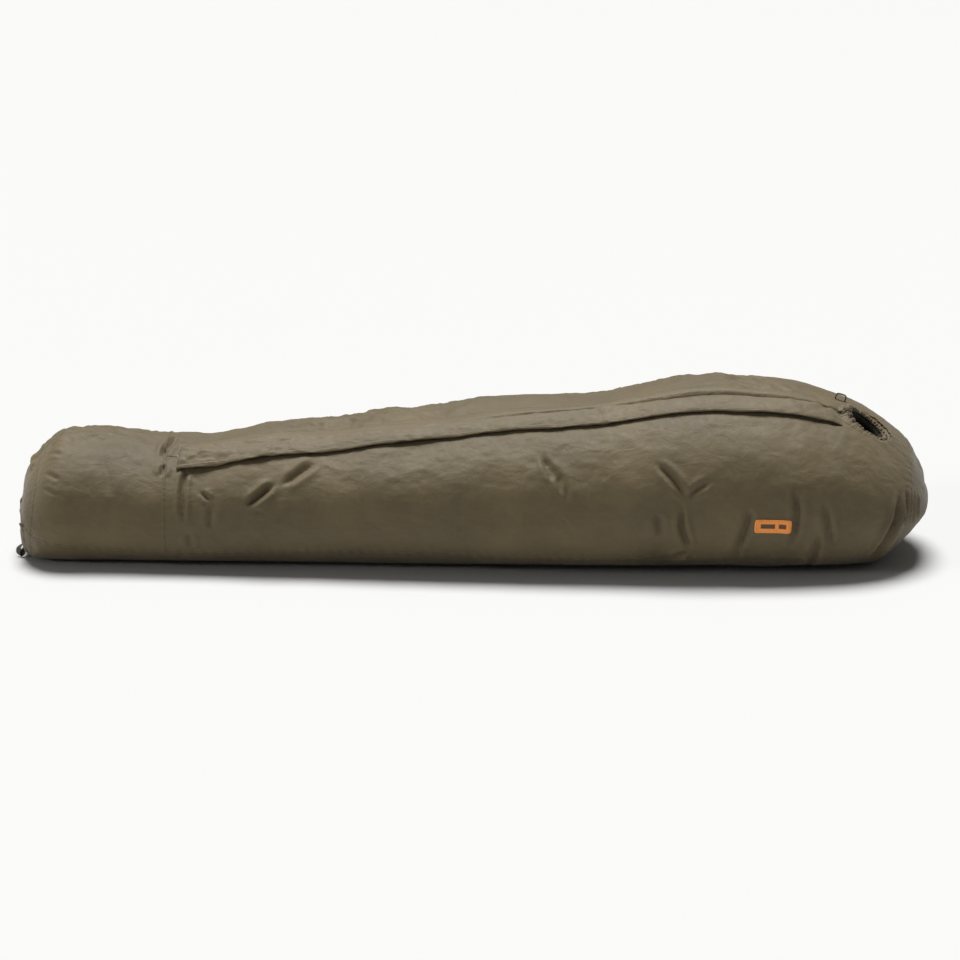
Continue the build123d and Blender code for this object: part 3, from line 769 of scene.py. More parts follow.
# Folds in the cloth of the left side: places are (x, slant height), where slant height is measured square
# to a line
# 15 degrees above the side; then half width and depth in millimetres.
PLACED_FOLDS = (
    (((-0.717, 0.275), (-0.744, 0.244), (-0.756, 0.218)), 8, 4.5),
    (((-0.745, 0.206), (-0.752, 0.172)), 7, 3.5),
    (((-0.685, 0.190), (-0.697, 0.175), (-0.701, 0.137), (-0.698, 0.102), (-0.697, 0.059)), 7, 4.5),
    (((-0.374, 0.211), (-0.424, 0.178), (-0.462, 0.152)), 10, 4.0),
    (((-0.475, 0.160), (-0.510, 0.130), (-0.548, 0.100)), 9, 5.5),
    (((-0.656, 0.139), (-0.633, 0.114)), 6, 3.0),
    (((-0.630, 0.106), (-0.632, 0.045)), 9, 2.0),
    (((-0.683, 0.040), (-0.682, 0.000)), 8, 2.0),
    (((-0.905, 0.230), (-0.880, 0.180), (-0.872, 0.120)), 14, 1.2),
    (((0.159, 0.228), (0.176, 0.188), (0.186, 0.160)), 8, 3.6),
    (((0.176, 0.214), (0.196, 0.168), (0.206, 0.128)), 7, 3.2),
    (((0.193, 0.206), (0.214, 0.150), (0.222, 0.112)), 8, 2.6),
    (((0.427, 0.209), (0.468, 0.166), (0.500, 0.123)), 9, 4.2),
    (((0.560, 0.165), (0.528, 0.146), (0.500, 0.123)), 8, 3.0),
    (((0.492, 0.112), (0.488, 0.059), (0.500, 0.024), (0.510, 0.003)), 8, 5.0),
    (((0.432, 0.090), (0.440, 0.030)), 10, 2.6),
    (((0.463, -0.019), (0.512, -0.004)), 6, 3.0),
    (((0.653, 0.100), (0.643, 0.059), (0.614, -0.026)), 10, 4.6),
    (((0.755, 0.146), (0.764, 0.088), (0.745, -0.006)), 10, 4.4),
    (((0.818, 0.042), (0.799, -0.048)), 9, 3.2),
    (((0.827, 0.120), (0.846, 0.000)), 10, 3.6),
    (((1.016, 0.140), (1.002, 0.069), (0.977, 0.015), (0.944, -0.028)), 8, 7.5),
    (((1.033, 0.150), (1.030, 0.047)), 5, 3.2),
    (((1.044, 0.148), (1.041, 0.050)), 4, 2.6),
    (((1.054, 0.146), (1.051, 0.056)), 4, 2.6),
    (((1.064, 0.140), (1.062, 0.066)), 4, 2.2),
    (((-1.030, 0.232), (-0.990, 0.227)), 5, 1.2),
    (((-1.034, 0.184), (-0.992, 0.165)), 6, 1.3),
    (((-1.036, 0.147), (-0.996, 0.127)), 5, 1.1),
    (((-0.300, 0.190), (-0.260, 0.110), (-0.250, 0.020)), 26, 0.9),
    (((0.020, 0.230), (0.050, 0.120), (0.030, 0.010)), 30, 0.9),
    (((-0.120, 0.200), (-0.090, 0.080)), 24, 0.8),
    (((0.300, 0.220), (0.330, 0.100), (0.320, 0.000)), 26, 0.9),
)


# The places above are as they look square on; the near side is closer to the eye than the middle, and so
# looks larger.
NEARER = 1.03
PULL_TO = (0.0119, 0.1659)


def pulled(places):
    """Fold places drawn in toward the middle of the view, to the nearest millimetre."""
    return tuple(tuple(round(m + (p - m) / NEARER, 3) for p, m in zip(place, PULL_TO)) for place in places)


FOLDS = tuple((pulled(places), half, depth) for places, half, depth in PLACED_FOLDS)


FOLD_DEPTH = 2.5


def press_fold(points, out, places, half, depth, across=1):
    """Heights that press one fold into the skin: a sharp valley with a soft ridge on each side."""
    x = points[:, :, 0]
    slant = points[:, :, 2] * math.cos(TILT) + across * points[:, :, 1] * math.sin(TILT)
    places = np.array(places, float)
    steps = np.linspace(0, len(places) - 1, 12 * len(places))
    line = np.stack([np.interp(steps, range(len(places)), places[:, k]) for k in range(2)], axis=1)
    for _ in range(6):
        line[1:-1] = (line[:-2] + 2 * line[1:-1] + line[2:]) / 4
    edge = 5 * half
    near = (x > line[:, 0].min() - edge) & (x < line[:, 0].max() + edge)
    near &= (slant > line[:, 1].min() - edge) & (slant < line[:, 1].max() + edge)
    near &= (across * points[:, :, 1] < -0.01) & (across * out[:, :, 1] < 0.2)
    rows, columns = np.nonzero(near)
    if not len(rows):
        return np.zeros(x.shape)
    away = np.hypot(x[rows, columns, None] - line[None, :, 0], slant[rows, columns, None] - line[None, :, 1])
    nearest = away.argmin(1)
    gap = away[np.arange(len(rows)), nearest]
    along = nearest / (len(line) - 1)
    fade = smooth(along, -0.02, 0.32) * smooth(1 - along, -0.02, 0.32)
    half = half * (0.72 + 0.28 * fade)
    valley = -np.exp(-((gap / (0.8 * half)) ** 1.25))
    ridge = 0.5 * np.exp(-(((gap - 1.7 * half) / half) ** 2))
    made = np.zeros(x.shape)
    made[rows, columns] = depth * fade * (valley + ridge)
    return made


def far_side_folds():
    """Folds of the same kind on the right side, which nothing has settled, in their own places."""
    made = []
    for places, half, depth in FOLDS:
        shift = rng.uniform(-0.06, 0.05)
        drop = rng.uniform(-0.03, 0.02)
        lean = rng.uniform(-0.35, 0.35)
        inside = abs(places[0][0]) < 0.95
        middle = places[0][1]
        moved = tuple((a + (shift + lean * (b - middle)) * inside, b + drop * inside) for a, b in places)
        made.append((moved, half, 0.8 * depth))
    return made


def round_rims(points):
    """The filling rounds off the corner where each end panel meets the body."""
    soft = points.copy()
    for _ in range(90):
        soft[1:-1] = (soft[:-2] + 2 * soft[1:-1] + soft[2:]) / 4
    near = np.min([np.abs(row_run - row_run[r]) for r in (FOOT_ROW, HOOD_ROW)], axis=0)
    share = np.exp(-((near / 0.045) ** 2))[:, None] * smooth(points[:, :, 2], 0.0, 0.04)
    return points + share[:, :, None] * (soft - points)


def lay_cloth(points):
    """The finished skin: lumps, long waves, draped cloth, folds, puckers at the seams and pleats at the
    face."""
    points = round_rims(profile(points))
    out = normals(points)
    free = smooth(SEAM_AWAY, 0.0, 0.03) * smooth(ZIP_AWAY, 0.012, 0.045)
    free = free * smooth(points[:, :, 2], 0.002, 0.03)
    height = 0.0030 * field_noise(points, (5.5, 8, 8), 1, 2) * free
    height += 0.0013 * field_noise(points, (16, 22, 22), 2, 3) * free
    upper = smooth(out[:, :, 2], 0.35, 0.85) * smooth(ZIP_AWAY, 0.02, 0.06)
    upper = upper * (0.25 + 0.75 * smooth(points[:, :, 1], -0.11, -0.05))
    crease = 1 - 2 * np.abs(field_noise(points, (11, 17, 17), 4, 2))
    finer = 1 - 2 * np.abs(field_noise(points, (30, 42, 42), 12, 2))
    patchy = smooth(field_noise(points, (3, 4, 4), 9, 1), -0.4, 0.3)
    height += (0.0075 * (crease - 0.6) + 0.0026 * (finer - 0.6)) * upper * patchy
    for places, half, depth in FOLDS:
        height += press_fold(points, out, places, half / 1000, FOLD_DEPTH * depth / 1000)
    for places, half, depth in far_side_folds():
        height += press_fold(points, out, places, half / 1000, FOLD_DEPTH * depth / 1000, -1)
    pucker = np.sin(row_run[:, None] * 2 * math.pi / 0.027 + 3 * field_noise(points, (9, 9, 9), 5, 1))
    pucker_ring = np.sin(
        column_run[None, :-1] * 2 * math.pi / 0.028 + 3 * field_noise(points, (9, 9, 9), 6, 1)
    )
    side = np.minimum.reduce([np.abs(column_run[:-1] - column_run[c]) for c in (0, RIGHT_COLUMN, COLUMNS)])
    height += 0.0009 * pucker * np.exp(-side[None, :] / 0.014) * smooth(points[:, :, 2], 0.02, 0.04)
    rims = np.min([np.abs(row_run - row_run[r]) for r in (FOOT_ROW, ANKLE_ROW, HOOD_ROW)], axis=0)
    uneven = smooth(field_noise(points, (7, 7, 7), 8, 1), -0.3, 0.5)
    height += 0.0006 * pucker_ring * np.exp(-rims[:, None] / 0.014) * uneven
    share, turn, over = face_coordinates(points)
    rise, deep = pleats(turn)
    nearby = np.exp(-np.clip(share - 1.15, 0, None) * 0.047 / 0.017) * (np.abs(over) < 0.06)
    height += 0.0016 * (rise - 0.45) * deep * nearby
    moved = points + height[:, :, None] * out
    moved = moved + drape(moved, out) * free[:, :, None]
    moved[:, :, 2] = np.maximum(moved[:, :, 2], 0.0)
    moved[0], moved[-1] = moved[0].mean(0), moved[-1].mean(0)
    return moved


skin = lay_cloth(grid)
skin_out = normals(skin)

# ---------------------------------------------------------------- sewn panels


def patch(name, rows, columns, material, lift=0.0, keep=None, thick=CLOTH_THICK):
    """A piece of the skin between rows and columns, lifted off it, as cloth with its own thickness."""
    row_list = np.arange(rows[0], rows[1] + 1)
    column_list = np.arange(columns[0], columns[1] + 1)
    mask = None if keep is None else keep[np.ix_(row_list[:-1], column_list[:-1] % COLUMNS)]
    pick = np.ix_(row_list, column_list % COLUMNS)
    points = (skin[pick] + lift * skin_out[pick]).reshape(-1, 3)
    runs = np.interp(column_list, np.arange(COLUMNS + 1), column_run)
    u, v = np.meshgrid(row_run[row_list], runs, indexing="ij")
    faces = quads(len(row_list), len(column_list), keep=mask, flip=FLIP)
    obj = build(name, points, faces, material, np.stack([u.ravel(), v.ravel()], axis=1))
    return thicken(merge(obj), thick)


probe = np.cross(skin[ROWS // 2, 1] - skin[ROWS // 2, 0], skin[ROWS // 2 + 1, 0] - skin[ROWS // 2, 0])
FLIP = bool(probe @ skin_out[ROWS // 2, 0] < 0)
cells = (skin + np.roll(skin, -1, 1) + np.roll(skin, -1, 0) + np.roll(np.roll(skin, -1, 0), -1, 1)) / 4
hole_share, _, hole_height = face_coordinates(cells)
closed_cells = ~((hole_share < FACE_HOLE) & (np.abs(hole_height) < 0.06))
for offset in (-2, -1, 0, 1):
    inside_zip = (cells[:, ZIP_COLUMN, 0] > ZIP_FOOT - 0.003) & (cells[:, ZIP_COLUMN, 0] < ZIP_HEAD + 0.003)
    closed_cells[inside_zip, ZIP_COLUMN + offset] = False

FULL = (0, COLUMNS)
PANELS = (
    ("foot_end_cloth", (0, FOOT_ROW), FULL, SHELL, "foot_end_panel", "shell_cloth", (0.33, 0.25)),
    ("hood_end_cloth", (HOOD_ROW, ROWS - 1), FULL, SHELL, "hood_end_panel", "shell_cloth", (0.46, 0.36)),
    ("foot_sleeve_cloth", (FOOT_ROW, ANKLE_ROW), (0, RIGHT_COLUMN), SHELL, "foot_sleeve", "shell_cloth", (
        0.82, 0.33
    )),
    ("left_side_cloth", (ANKLE_ROW, HOOD_ROW), (0, ZIP_COLUMN), SHELL, "left_side_panel", "shell_cloth", (
        0.42, 1.76
    )),
    ("crown_cloth", (ANKLE_ROW, HOOD_ROW), (ZIP_COLUMN, RIGHT_COLUMN), SHELL, "crown_panel", "shell_cloth", (
        0.82, 1.78
    )),
    ("floor_cloth_sheet", (FOOT_ROW, HOOD_ROW), (RIGHT_COLUMN, COLUMNS), FLOOR, "floor_panel",
        "floor_cloth", (
        0.62, 2.08
    )),
)
for name, rows, columns, material, node, slot, flat in PANELS:
    piece = patch(name, rows, columns, material, keep=closed_cells)
    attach(piece, "shell")
    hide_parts(node)

# Seam tape, welded to the inside of each seam.
INSIDE = -CLOTH_THICK - 0.0004


def tape_rows(row, half=0.011):
    """The rows within half a tape of a seam."""
    near = np.flatnonzero(np.abs(row_run - row_run[row]) <= half)
    return int(near[0]), int(near[-1])


def joined(name, pieces):
    """Several objects as one."""
    point_list, face_list, uvs, start = [], [], [], 0
    for piece in pieces:
        mesh = piece.data
        point_list += [v.co.copy() for v in mesh.vertices]
        face_list += [[start + i for i in p.vertices] for p in mesh.polygons]
        at = np.zeros((len(mesh.vertices), 2))
        if mesh.uv_layers:
            for loop in mesh.loops:
                at[loop.vertex_index] = mesh.uv_layers[0].data[loop.index].uv
        uvs.append(at)
        start += len(mesh.vertices)
    made = build(name, point_list, face_list, pieces[0].data.materials[0], np.concatenate(uvs))
    for piece in pieces:
        bpy.data.objects.remove(piece)
    return made


TAPES = (
    ("foot_tape", [(tape_rows(FOOT_ROW), FULL)], "foot_seam_tape"),
    ("hood_tape", [(tape_rows(HOOD_ROW), FULL)], "hood_seam_tape"),
    ("ankle_tape", [(tape_rows(ANKLE_ROW), (2, RIGHT_COLUMN - 2))], "ankle_seam_tape"),
    (
        "floor_tape",
        [
            ((FOOT_ROW + 3, HOOD_ROW - 4), (RIGHT_COLUMN - 2, RIGHT_COLUMN + 2)),
            ((FOOT_ROW + 3, HOOD_ROW - 4), (COLUMNS - 2, COLUMNS + 2)),
        ],
        "floor_seam_tape",
    ),
)
for name, spans, node in TAPES:
    strips = [
        patch(f"{name}_{k}", rows, columns, WELDED, lift=INSIDE, thick=0.0006) for k, (
            rows, columns
        ) in enumerate(spans)
    ]
    piece = joined(name, strips)
    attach(piece, "shell")
    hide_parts(node)

# ---------------------------------------------------------------- seams and stitches

stitch_lines = {"shell": [], "flap": []}


def seam_ridge(points, out, width, height):
    """Points, faces and UVs of a felled seam's raised strip along a line on the skin."""
    points, out = np.asarray(points), np.asarray(out)
    ahead = np.gradient(points, axis=0)
    across = np.cross(ahead, out)
    across /= np.linalg.norm(across, axis=1)[:, None]
    shape = ((-0.5, -0.0003), (-0.42, 0.55), (-0.2, 0.9), (0, 1), (0.2, 0.9), (0.42, 0.55), (0.5, -0.0003))
    run = np.concatenate([[0], np.cumsum(np.linalg.norm(np.diff(points, axis=0), axis=1))])
    wave = 1 + 0.35 * np.sin(run * 2 * math.pi / 0.013)
    rows = []
    for side, rise in shape:
        lift = height * rise * wave if rise > 0 else np.full(len(points), -0.0005)
        rows.append(points + across * side * width + out * lift[:, None])
    made = np.stack(rows, axis=1)
    uv = np.stack([np.repeat(run, len(shape)), np.tile([s * width for s, _ in shape], len(points))], axis=1)
    return made.reshape(-1, 3), quads(len(points), len(shape)), uv


def seam_line(rows, columns):
    """Points and outward directions along a run of the grid."""
    return skin[rows, columns], skin_out[rows, columns]


RING = np.arange(COLUMNS + 1) % COLUMNS
SIDE_ROWS = np.arange(FOOT_ROW, HOOD_ROW + 1)
SEAMS = (
    seam_line(np.full(COLUMNS + 1, FOOT_ROW), RING),
    seam_line(np.full(COLUMNS + 1, HOOD_ROW), RING),
    seam_line(np.full(RIGHT_COLUMN + 1, ANKLE_ROW), np.arange(RIGHT_COLUMN + 1)),
    seam_line(SIDE_ROWS, np.full(len(SIDE_ROWS), 0)),
    seam_line(SIDE_ROWS, np.full(len(SIDE_ROWS), RIGHT_COLUMN)),
)
ridge_pieces = []
for number, (points, out) in enumerate(SEAMS):
    made, faces, uv = seam_ridge(points, out, 0.008, 0.0006)
    ridge = build(f"ridge_{number}", made, faces, SHELL, uv)
    ridge_pieces.append(ridge)
    ahead = np.gradient(points, axis=0)
    across = np.cross(ahead, out)
    across /= np.linalg.norm(across, axis=1)[:, None]
    for side in (-0.0022, 0.0022):
        stitch_lines["shell"].append(points + across * side + out * 0.0011)
ridges = joined("seam_ridges", ridge_pieces)
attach(ridges, "shell")


def repeat_tree(name, shape, material):
    """Geometry nodes that set a small piece at even steps along lines: a stitch of thread or one turn of
    zip coil."""
    tree = bpy.data.node_groups.new(name, "GeometryNodeTree")
    sockets = tree.interface
    sockets.new_socket("Geometry", in_out="INPUT", socket_type="NodeSocketGeometry")
    for label, default in (("Pitch", 0.0045), ("Long", 0.0028), ("Thick", 0.0006)):
        made = sockets.new_socket(label, in_out="INPUT", socket_type="NodeSocketFloat")
        made.default_value = default
    sockets.new_socket("Geometry", in_out="OUTPUT", socket_type="NodeSocketGeometry")
    given = tree.nodes.new("NodeGroupInput")
    curve = add(tree, "GeometryNodeMeshToCurve", Mesh=given.outputs["Geometry"])
    even_steps = add(
        tree, "GeometryNodeResampleCurve", {"mode": "LENGTH"}, Curve=curve.outputs[0], Length=given.outputs[
            "Pitch"
        ]
    )
    tangent = add(tree, "GeometryNodeInputTangent")
    turn = add(tree, "FunctionNodeAlignRotationToVector", {"axis": "X"}, Vector=tangent.outputs[0])
    size = add(
        tree,
        "ShaderNodeCombineXYZ",
        X=given.outputs["Long"],
        Y=given.outputs["Thick"],
        Z=given.outputs["Thick"],
    )
    if shape == "stitch":
        small = add(tree, "GeometryNodeMeshUVSphere", Segments=6, Rings=4, Radius=0.5)
        body = small.outputs[0]
    else:
        loop = add(tree, "GeometryNodeCurvePrimitiveCircle", Resolution=9, Radius=0.5)
        wire = add(tree, "GeometryNodeCurvePrimitiveCircle", Resolution=4, Radius=0.12)
        wound = add(tree, "GeometryNodeCurveToMesh", Curve=loop.outputs[0], Profile_Curve=wire.outputs[0])
        upright_loop = add(
            tree, "GeometryNodeTransform", Geometry=wound.outputs[0], Rotation=(0.0, math.pi / 2 + 0.25, 0.0)
        )
        body = upright_loop.outputs[0]
    placed = add(
        tree,
        "GeometryNodeInstanceOnPoints",
        Points=even_steps.outputs[0],
        Instance=body,
        Rotation=turn.outputs[0],
        Scale=size.outputs[0],
    )
    real = add(tree, "GeometryNodeRealizeInstances", Geometry=placed.outputs[0])
    shade = add(tree, "GeometryNodeSetShadeSmooth", Geometry=real.outputs[0])
    painted = add(tree, "GeometryNodeSetMaterial", Geometry=shade.outputs[0], Material=material)
    add(tree, "NodeGroupOutput", Geometry=painted.outputs[0])
    return tree


STITCH_TREE = repeat_tree("stitch_row", "stitch", THREAD)
COIL_TREE = repeat_tree("zip_coil_turns", "coil", ZIP_COIL)


def set_along(name, lines, tree, pitch, long, thick):
    """One mesh of small pieces set along lines of points."""
    points, edges = [], []
    for line in lines:
        start = len(points)
        points += [tuple(p) for p in line]
        edges += [(start + i, start + i + 1) for i in range(len(line) - 1)]
    mesh = bpy.data.meshes.new(name)
    mesh.from_pydata(points, edges, [])
    obj = bpy.data.objects.new(name, mesh)
    bpy.context.scene.collection.objects.link(obj)
    set_up = obj.modifiers.new("repeat", "NODES")
    set_up.node_group = tree
    named = {item.name: item.identifier for item in tree.interface.items_tree if item.in_out == "INPUT"}
    for label, value in (("Pitch", pitch), ("Long", long), ("Thick", thick)):
        set_up[named[label]] = value
    return settle(obj)


# ---------------------------------------------------------------- finished skin as a surface to sew onto

all_faces = quads(ROWS, COLUMNS, True, flip=FLIP)
sewn_tree = BVHTree.FromPolygons([Vector(p) for p in skin.reshape(-1, 3)], all_faces.tolist())
plain_tree = BVHTree.FromPolygons([Vector(p) for p in blur(grid, 12).reshape(-1, 3)], all_faces.tolist())


def on_top(x, y):
    """The skin's upper side over x, y, and the outward direction of the sewn shape under its wrinkles."""
    above, down = Vector((x, y, 1.0)), Vector((0, 0, -1))
    normal = plain_tree.ray_cast(above, down)[1]
    return sewn_tree.ray_cast(above, down)[0], normal if normal.z > 0 else -normal


def on_left(x, z):
    """The skin's left side at x, z, and its outward direction."""
    hit, normal, _, _ = sewn_tree.ray_cast(Vector((x, -1.0, z)), Vector((0, 1, 0)))
    return hit, normal if normal.y < 0 else -normal


# ---------------------------------------------------------------- zip

ZIP_SLOPE = 0.108
CROWN_X, CROWN_Z, CROWN_RADIUS = 0.58500, -0.38650, 0.790
HOLLOW_X, HOLLOW_Z, HOLLOW_RADIUS = 0.25488, 0.96373, 0.600
JOIN_X, CREST_X = 0.3193, 0.3974
ZIP_FOOT_Z = 0.2582
ZIP_TILT = math.radians(19)


def zip_height(x):
    """Height of the zip's line at x, as its maker cut it."""
    if x <= JOIN_X:
        return ZIP_FOOT_Z + ZIP_SLOPE * (x - ZIP_FOOT)
    if x <= CREST_X:
        return HOLLOW_Z - math.sqrt(HOLLOW_RADIUS**2 - (x - HOLLOW_X) ** 2)
    return CROWN_Z + math.sqrt(CROWN_RADIUS**2 - (x - CROWN_X) ** 2)


def zip_frame(x):
    """Point on the zip's line with its outward and across directions."""
    step = 0.002
    ahead = Vector((2 * step, 0, zip_height(x + step) - zip_height(x - step))).normalized()
    up = Vector((-ahead.z, 0, ahead.x))
    across = Vector((0, math.cos(ZIP_TILT), 0)) + up * math.sin(ZIP_TILT)
    across.normalize()
    return Vector((x, ZIP_Y, zip_height(x))), ahead.cross(across).normalized(), across


zip_x = np.arange(ZIP_FOOT, ZIP_HEAD, 0.004).tolist() + [ZIP_HEAD]
for side, word in ((1, "right"), (-1, "left")):
    shape = (
        (0.0012, 0.0), (0.004, 0.0), (0.0052, 0.0001), (0.0095, 0.0), (0.0128, 0.0002), (0.0142, -0.0004)
    )
    points, uv = [], []
    for x in zip_x:
        base, up, across = zip_frame(x)
        for wide, high in shape:
            points.append(base + side * wide * across + up * (high - 0.0001))
            uv.append((x, wide))
    piece = build(
        f"zip_tape_{word}_woven", points, quads(len(zip_x), len(shape), flip=side > 0), ZIP_TAPE, uv
    )
    piece = thicken(piece, 0.0007)
    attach(piece, "shell")
    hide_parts(f"zip_tape_{word}")
    line, row = [], []
    for x in zip_x:
        base, up, across = zip_frame(x)
        line.append(base + side * 0.0026 * across + up * 0.0012)
        row.append(base + side * 0.0105 * across + up * 0.0004)
    coil = set_along(f"zip_coil_{word}_wound", [line], COIL_TREE, 0.0015, 0.0024, 0.0030)
    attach(coil, "shell")
    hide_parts(f"zip_coil_{word}")
    stitch_lines["shell"].append(np.array(row))

# ---------------------------------------------------------------- storm flap


EDGE_CURVE = np.polyfit(*zip(*FLAP_EDGE), 4)
FLAP_LONG_STEP, FLAP_ROWS = 0.0042, 26
FLAP_SLANT = 0.006
FLAP_REACH_ON = 0.852


def landing(x):
    """How much of its full height the flap keeps at x: it comes down to the cloth at both ends."""
    at_head = 0.12 + 0.88 * smooth(FLAP_REACH_ON - x, -0.004, 0.026)
    at_foot = 0.5 + 0.5 * smooth(x - FLAP_FOOT, -0.004, 0.010)
    return float(at_head * at_foot)


def flap_sheet():
    """The flap's grid: from its root over the zip to its hem, with crinkles and a lifting free edge."""
    xs = np.linspace(FLAP_FOOT, FLAP_REACH_ON, round((FLAP_REACH_ON - FLAP_FOOT) / FLAP_LONG_STEP))
    points, outs, uv = [], [], []
    for x in xs:
        edge = float(np.polyval(EDGE_CURVE, x))
        lifted = sum(h * math.exp(-(((x - m) / w) ** 2)) for m, w, h in FLAP_LIFTS)
        crinkled = 0.5 + sum(h * math.exp(-(((x - m) / w) ** 2)) for m, w, h in FLAP_CRUMPLES)
        foot_near = max(0.0, 1 - (x - FLAP_FOOT) / 0.10)
        land = landing(x)
        for k in range(FLAP_ROWS + 1):
            part = k / FLAP_ROWS
            place = x + FLAP_SLANT * foot_near**2 * (1 - part)
            y = FLAP_ROOT_Y + part * (edge - FLAP_ROOT_Y)
            base, out = on_top(place, y)
            fall = 0.0052 * max(0.0, (part - 0.60) / 0.40) ** 1.5
            edge_wave = 0.0022 * abs(noise.noise(Vector((x * 14, 3.1, 0.4)))) * part**2
            spot = Vector((place * 30, y * 38, 1.7))
            crumple = 0.0042 * crinkled * abs(noise.fractal(spot, 0.85, 2.1, 5)) * min(1, 4 * part)
            ramp = 0.0106 + (FLAP_CLEAR - 0.0106) * min(1.0, part / 0.2)
            lift = (ramp - fall + edge_wave + crumple + lifted * part**2) * land
            points.append(base + out * float(lift))
            outs.append(out)
            uv.append((place, -y))
    shape = (len(xs), FLAP_ROWS + 1, 3)
    return xs, np.array(points).reshape(shape), np.array(outs).reshape(shape), uv


# Where the free edge stands off, and where the flap is crumpled: middle, reach and amount.
FLAP_LIFTS = ((-0.637, 0.03, 0.004), (-0.497, 0.035, 0.0035), (-0.14, 0.04, 0.004), (0.70, 0.06, 0.0015))
FLAP_CRUMPLES = (
    (-0.64, 0.06, 1.2), (-0.45, 0.09, 1.0), (0.30, 0.10, 0.9), (0.75, 0.1, 0.4), (-0.1, 0.1, 0.4)
)

flap_x, flap_points, flap_outs, flap_uv = flap_sheet()
for _ in range(2):
    flap_points[1:-1] = (flap_points[:-2] + 2 * flap_points[1:-1] + flap_points[2:]) / 4
flap_rows, flap_columns = flap_points.shape[:2]
probe = np.cross(flap_points[5, 6] - flap_points[5, 5], flap_points[6, 5] - flap_points[5, 5])
flap_flip = bool(probe @ flap_outs[5, 5] < 0)
sheet_piece = build(
    "flap_upper_layer", flap_points.reshape(-1, 3), quads(
        flap_rows, flap_columns, flip=flap_flip
    ), FLAP, flap_uv
)
sheet_piece = thicken(sheet_piece, 0.0009)
hem_columns = np.arange(flap_columns - 4, flap_columns)
hem_points = (flap_points[:, hem_columns] + 0.0007 * flap_outs[:, hem_columns]).copy()
hem_points[:, -1] += (flap_points[:, -1] - flap_points[:, -2]) * 0.35 - 0.0009 * flap_outs[:, -1]
hem_uv = np.array(flap_uv).reshape(flap_rows, flap_columns, 2)[:, hem_columns].reshape(-1, 2)
hem = build("flap_hem_layer", hem_points.reshape(-1, 3), quads(flap_rows, 4, flip=flap_flip), FLAP, hem_uv)
hem = thicken(hem, 0.0009)
flap = joined("storm_flap_sheet", [sheet_piece, hem])
for inward, proud in ((4, 0.0006), (3, 0.0013)):
    column = flap_columns - inward
    stitch_lines["flap"].append(flap_points[2:-2, column] + proud * flap_outs[2:-2, column])

# The flap's root: the sewn-on strip that slopes up from the crown to the flap, and stays with the shell.
ROOT_STRIP = (
    (-0.054, -0.0004), (-0.058, 0.0007), (-0.064, 0.0024), (-0.070, 0.0048), (
        -0.076, 0.0074
    ), (-0.0815, 0.0092),
    (-0.086, 0.0094), (-0.0885, 0.0088), (-0.0915, 0.0075),
)
welt_points, welt_uv = [], []
for x in flap_x:
    land = landing(x) * float(smooth(x - FLAP_FOOT, 0.004, 0.05))
    for y, high in ROOT_STRIP:
        base, out = on_top(x, y)
        rumple = 0.0018 * noise.fractal(Vector((x * 24, y * 30, 1.7)), 0.85, 2.1, 4)
        rumple *= float(smooth(high, 0.0, 0.003) * (1 - smooth(high, 0.007, 0.0095)))
        welt_points.append(base + out * float(max(high, 0.0) * land + min(high, 0.0) + rumple))
        welt_uv.append((x, y))
welt = build(
    "flap_root_welt", welt_points, quads(len(flap_x), len(ROOT_STRIP), flip=flap_flip), FLAP, welt_uv
)
welt = thicken(welt, 0.0008)
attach(welt, "shell")
root_row = []
for x in flap_x:
    base, out = on_top(x, -0.0600)
    root_row.append(base + out * 0.0022)
stitch_lines["shell"].append(np.array(root_row))

# ---------------------------------------------------------------- face opening

GATHER_TURNS, GATHER_STEPS = 360, 48
# The step of the casing from which its faces take the dark lining: painted shade inside the opening.
SHADE_PAINTED_FROM = 31


def to_face(a, b, c):
    return FACE_ORIGIN + FACE_ALONG * float(a) + FACE_ACROSS * float(b) + FACE_OUT * float(c)


def gather_profile(radius):
    """The casing from its seam on the hood, up over the drawcord and down inside: (radial, height) in
    metres."""
    shape = [(0.0215, -0.0020), (0.0175, 0.0004), (0.0130, 0.0016), (0.0095, 0.0024)]
    for step in range(13):
        angle = math.radians(35 + 13.5 * step)
        shape.append((radius * math.cos(angle) + 0.001, radius * math.sin(angle)))
    shape += [(-0.0062, -0.008), (-0.0060, -0.016), (-0.0040, -0.026), (-0.0030, -0.036)]
    return np.array(shape)


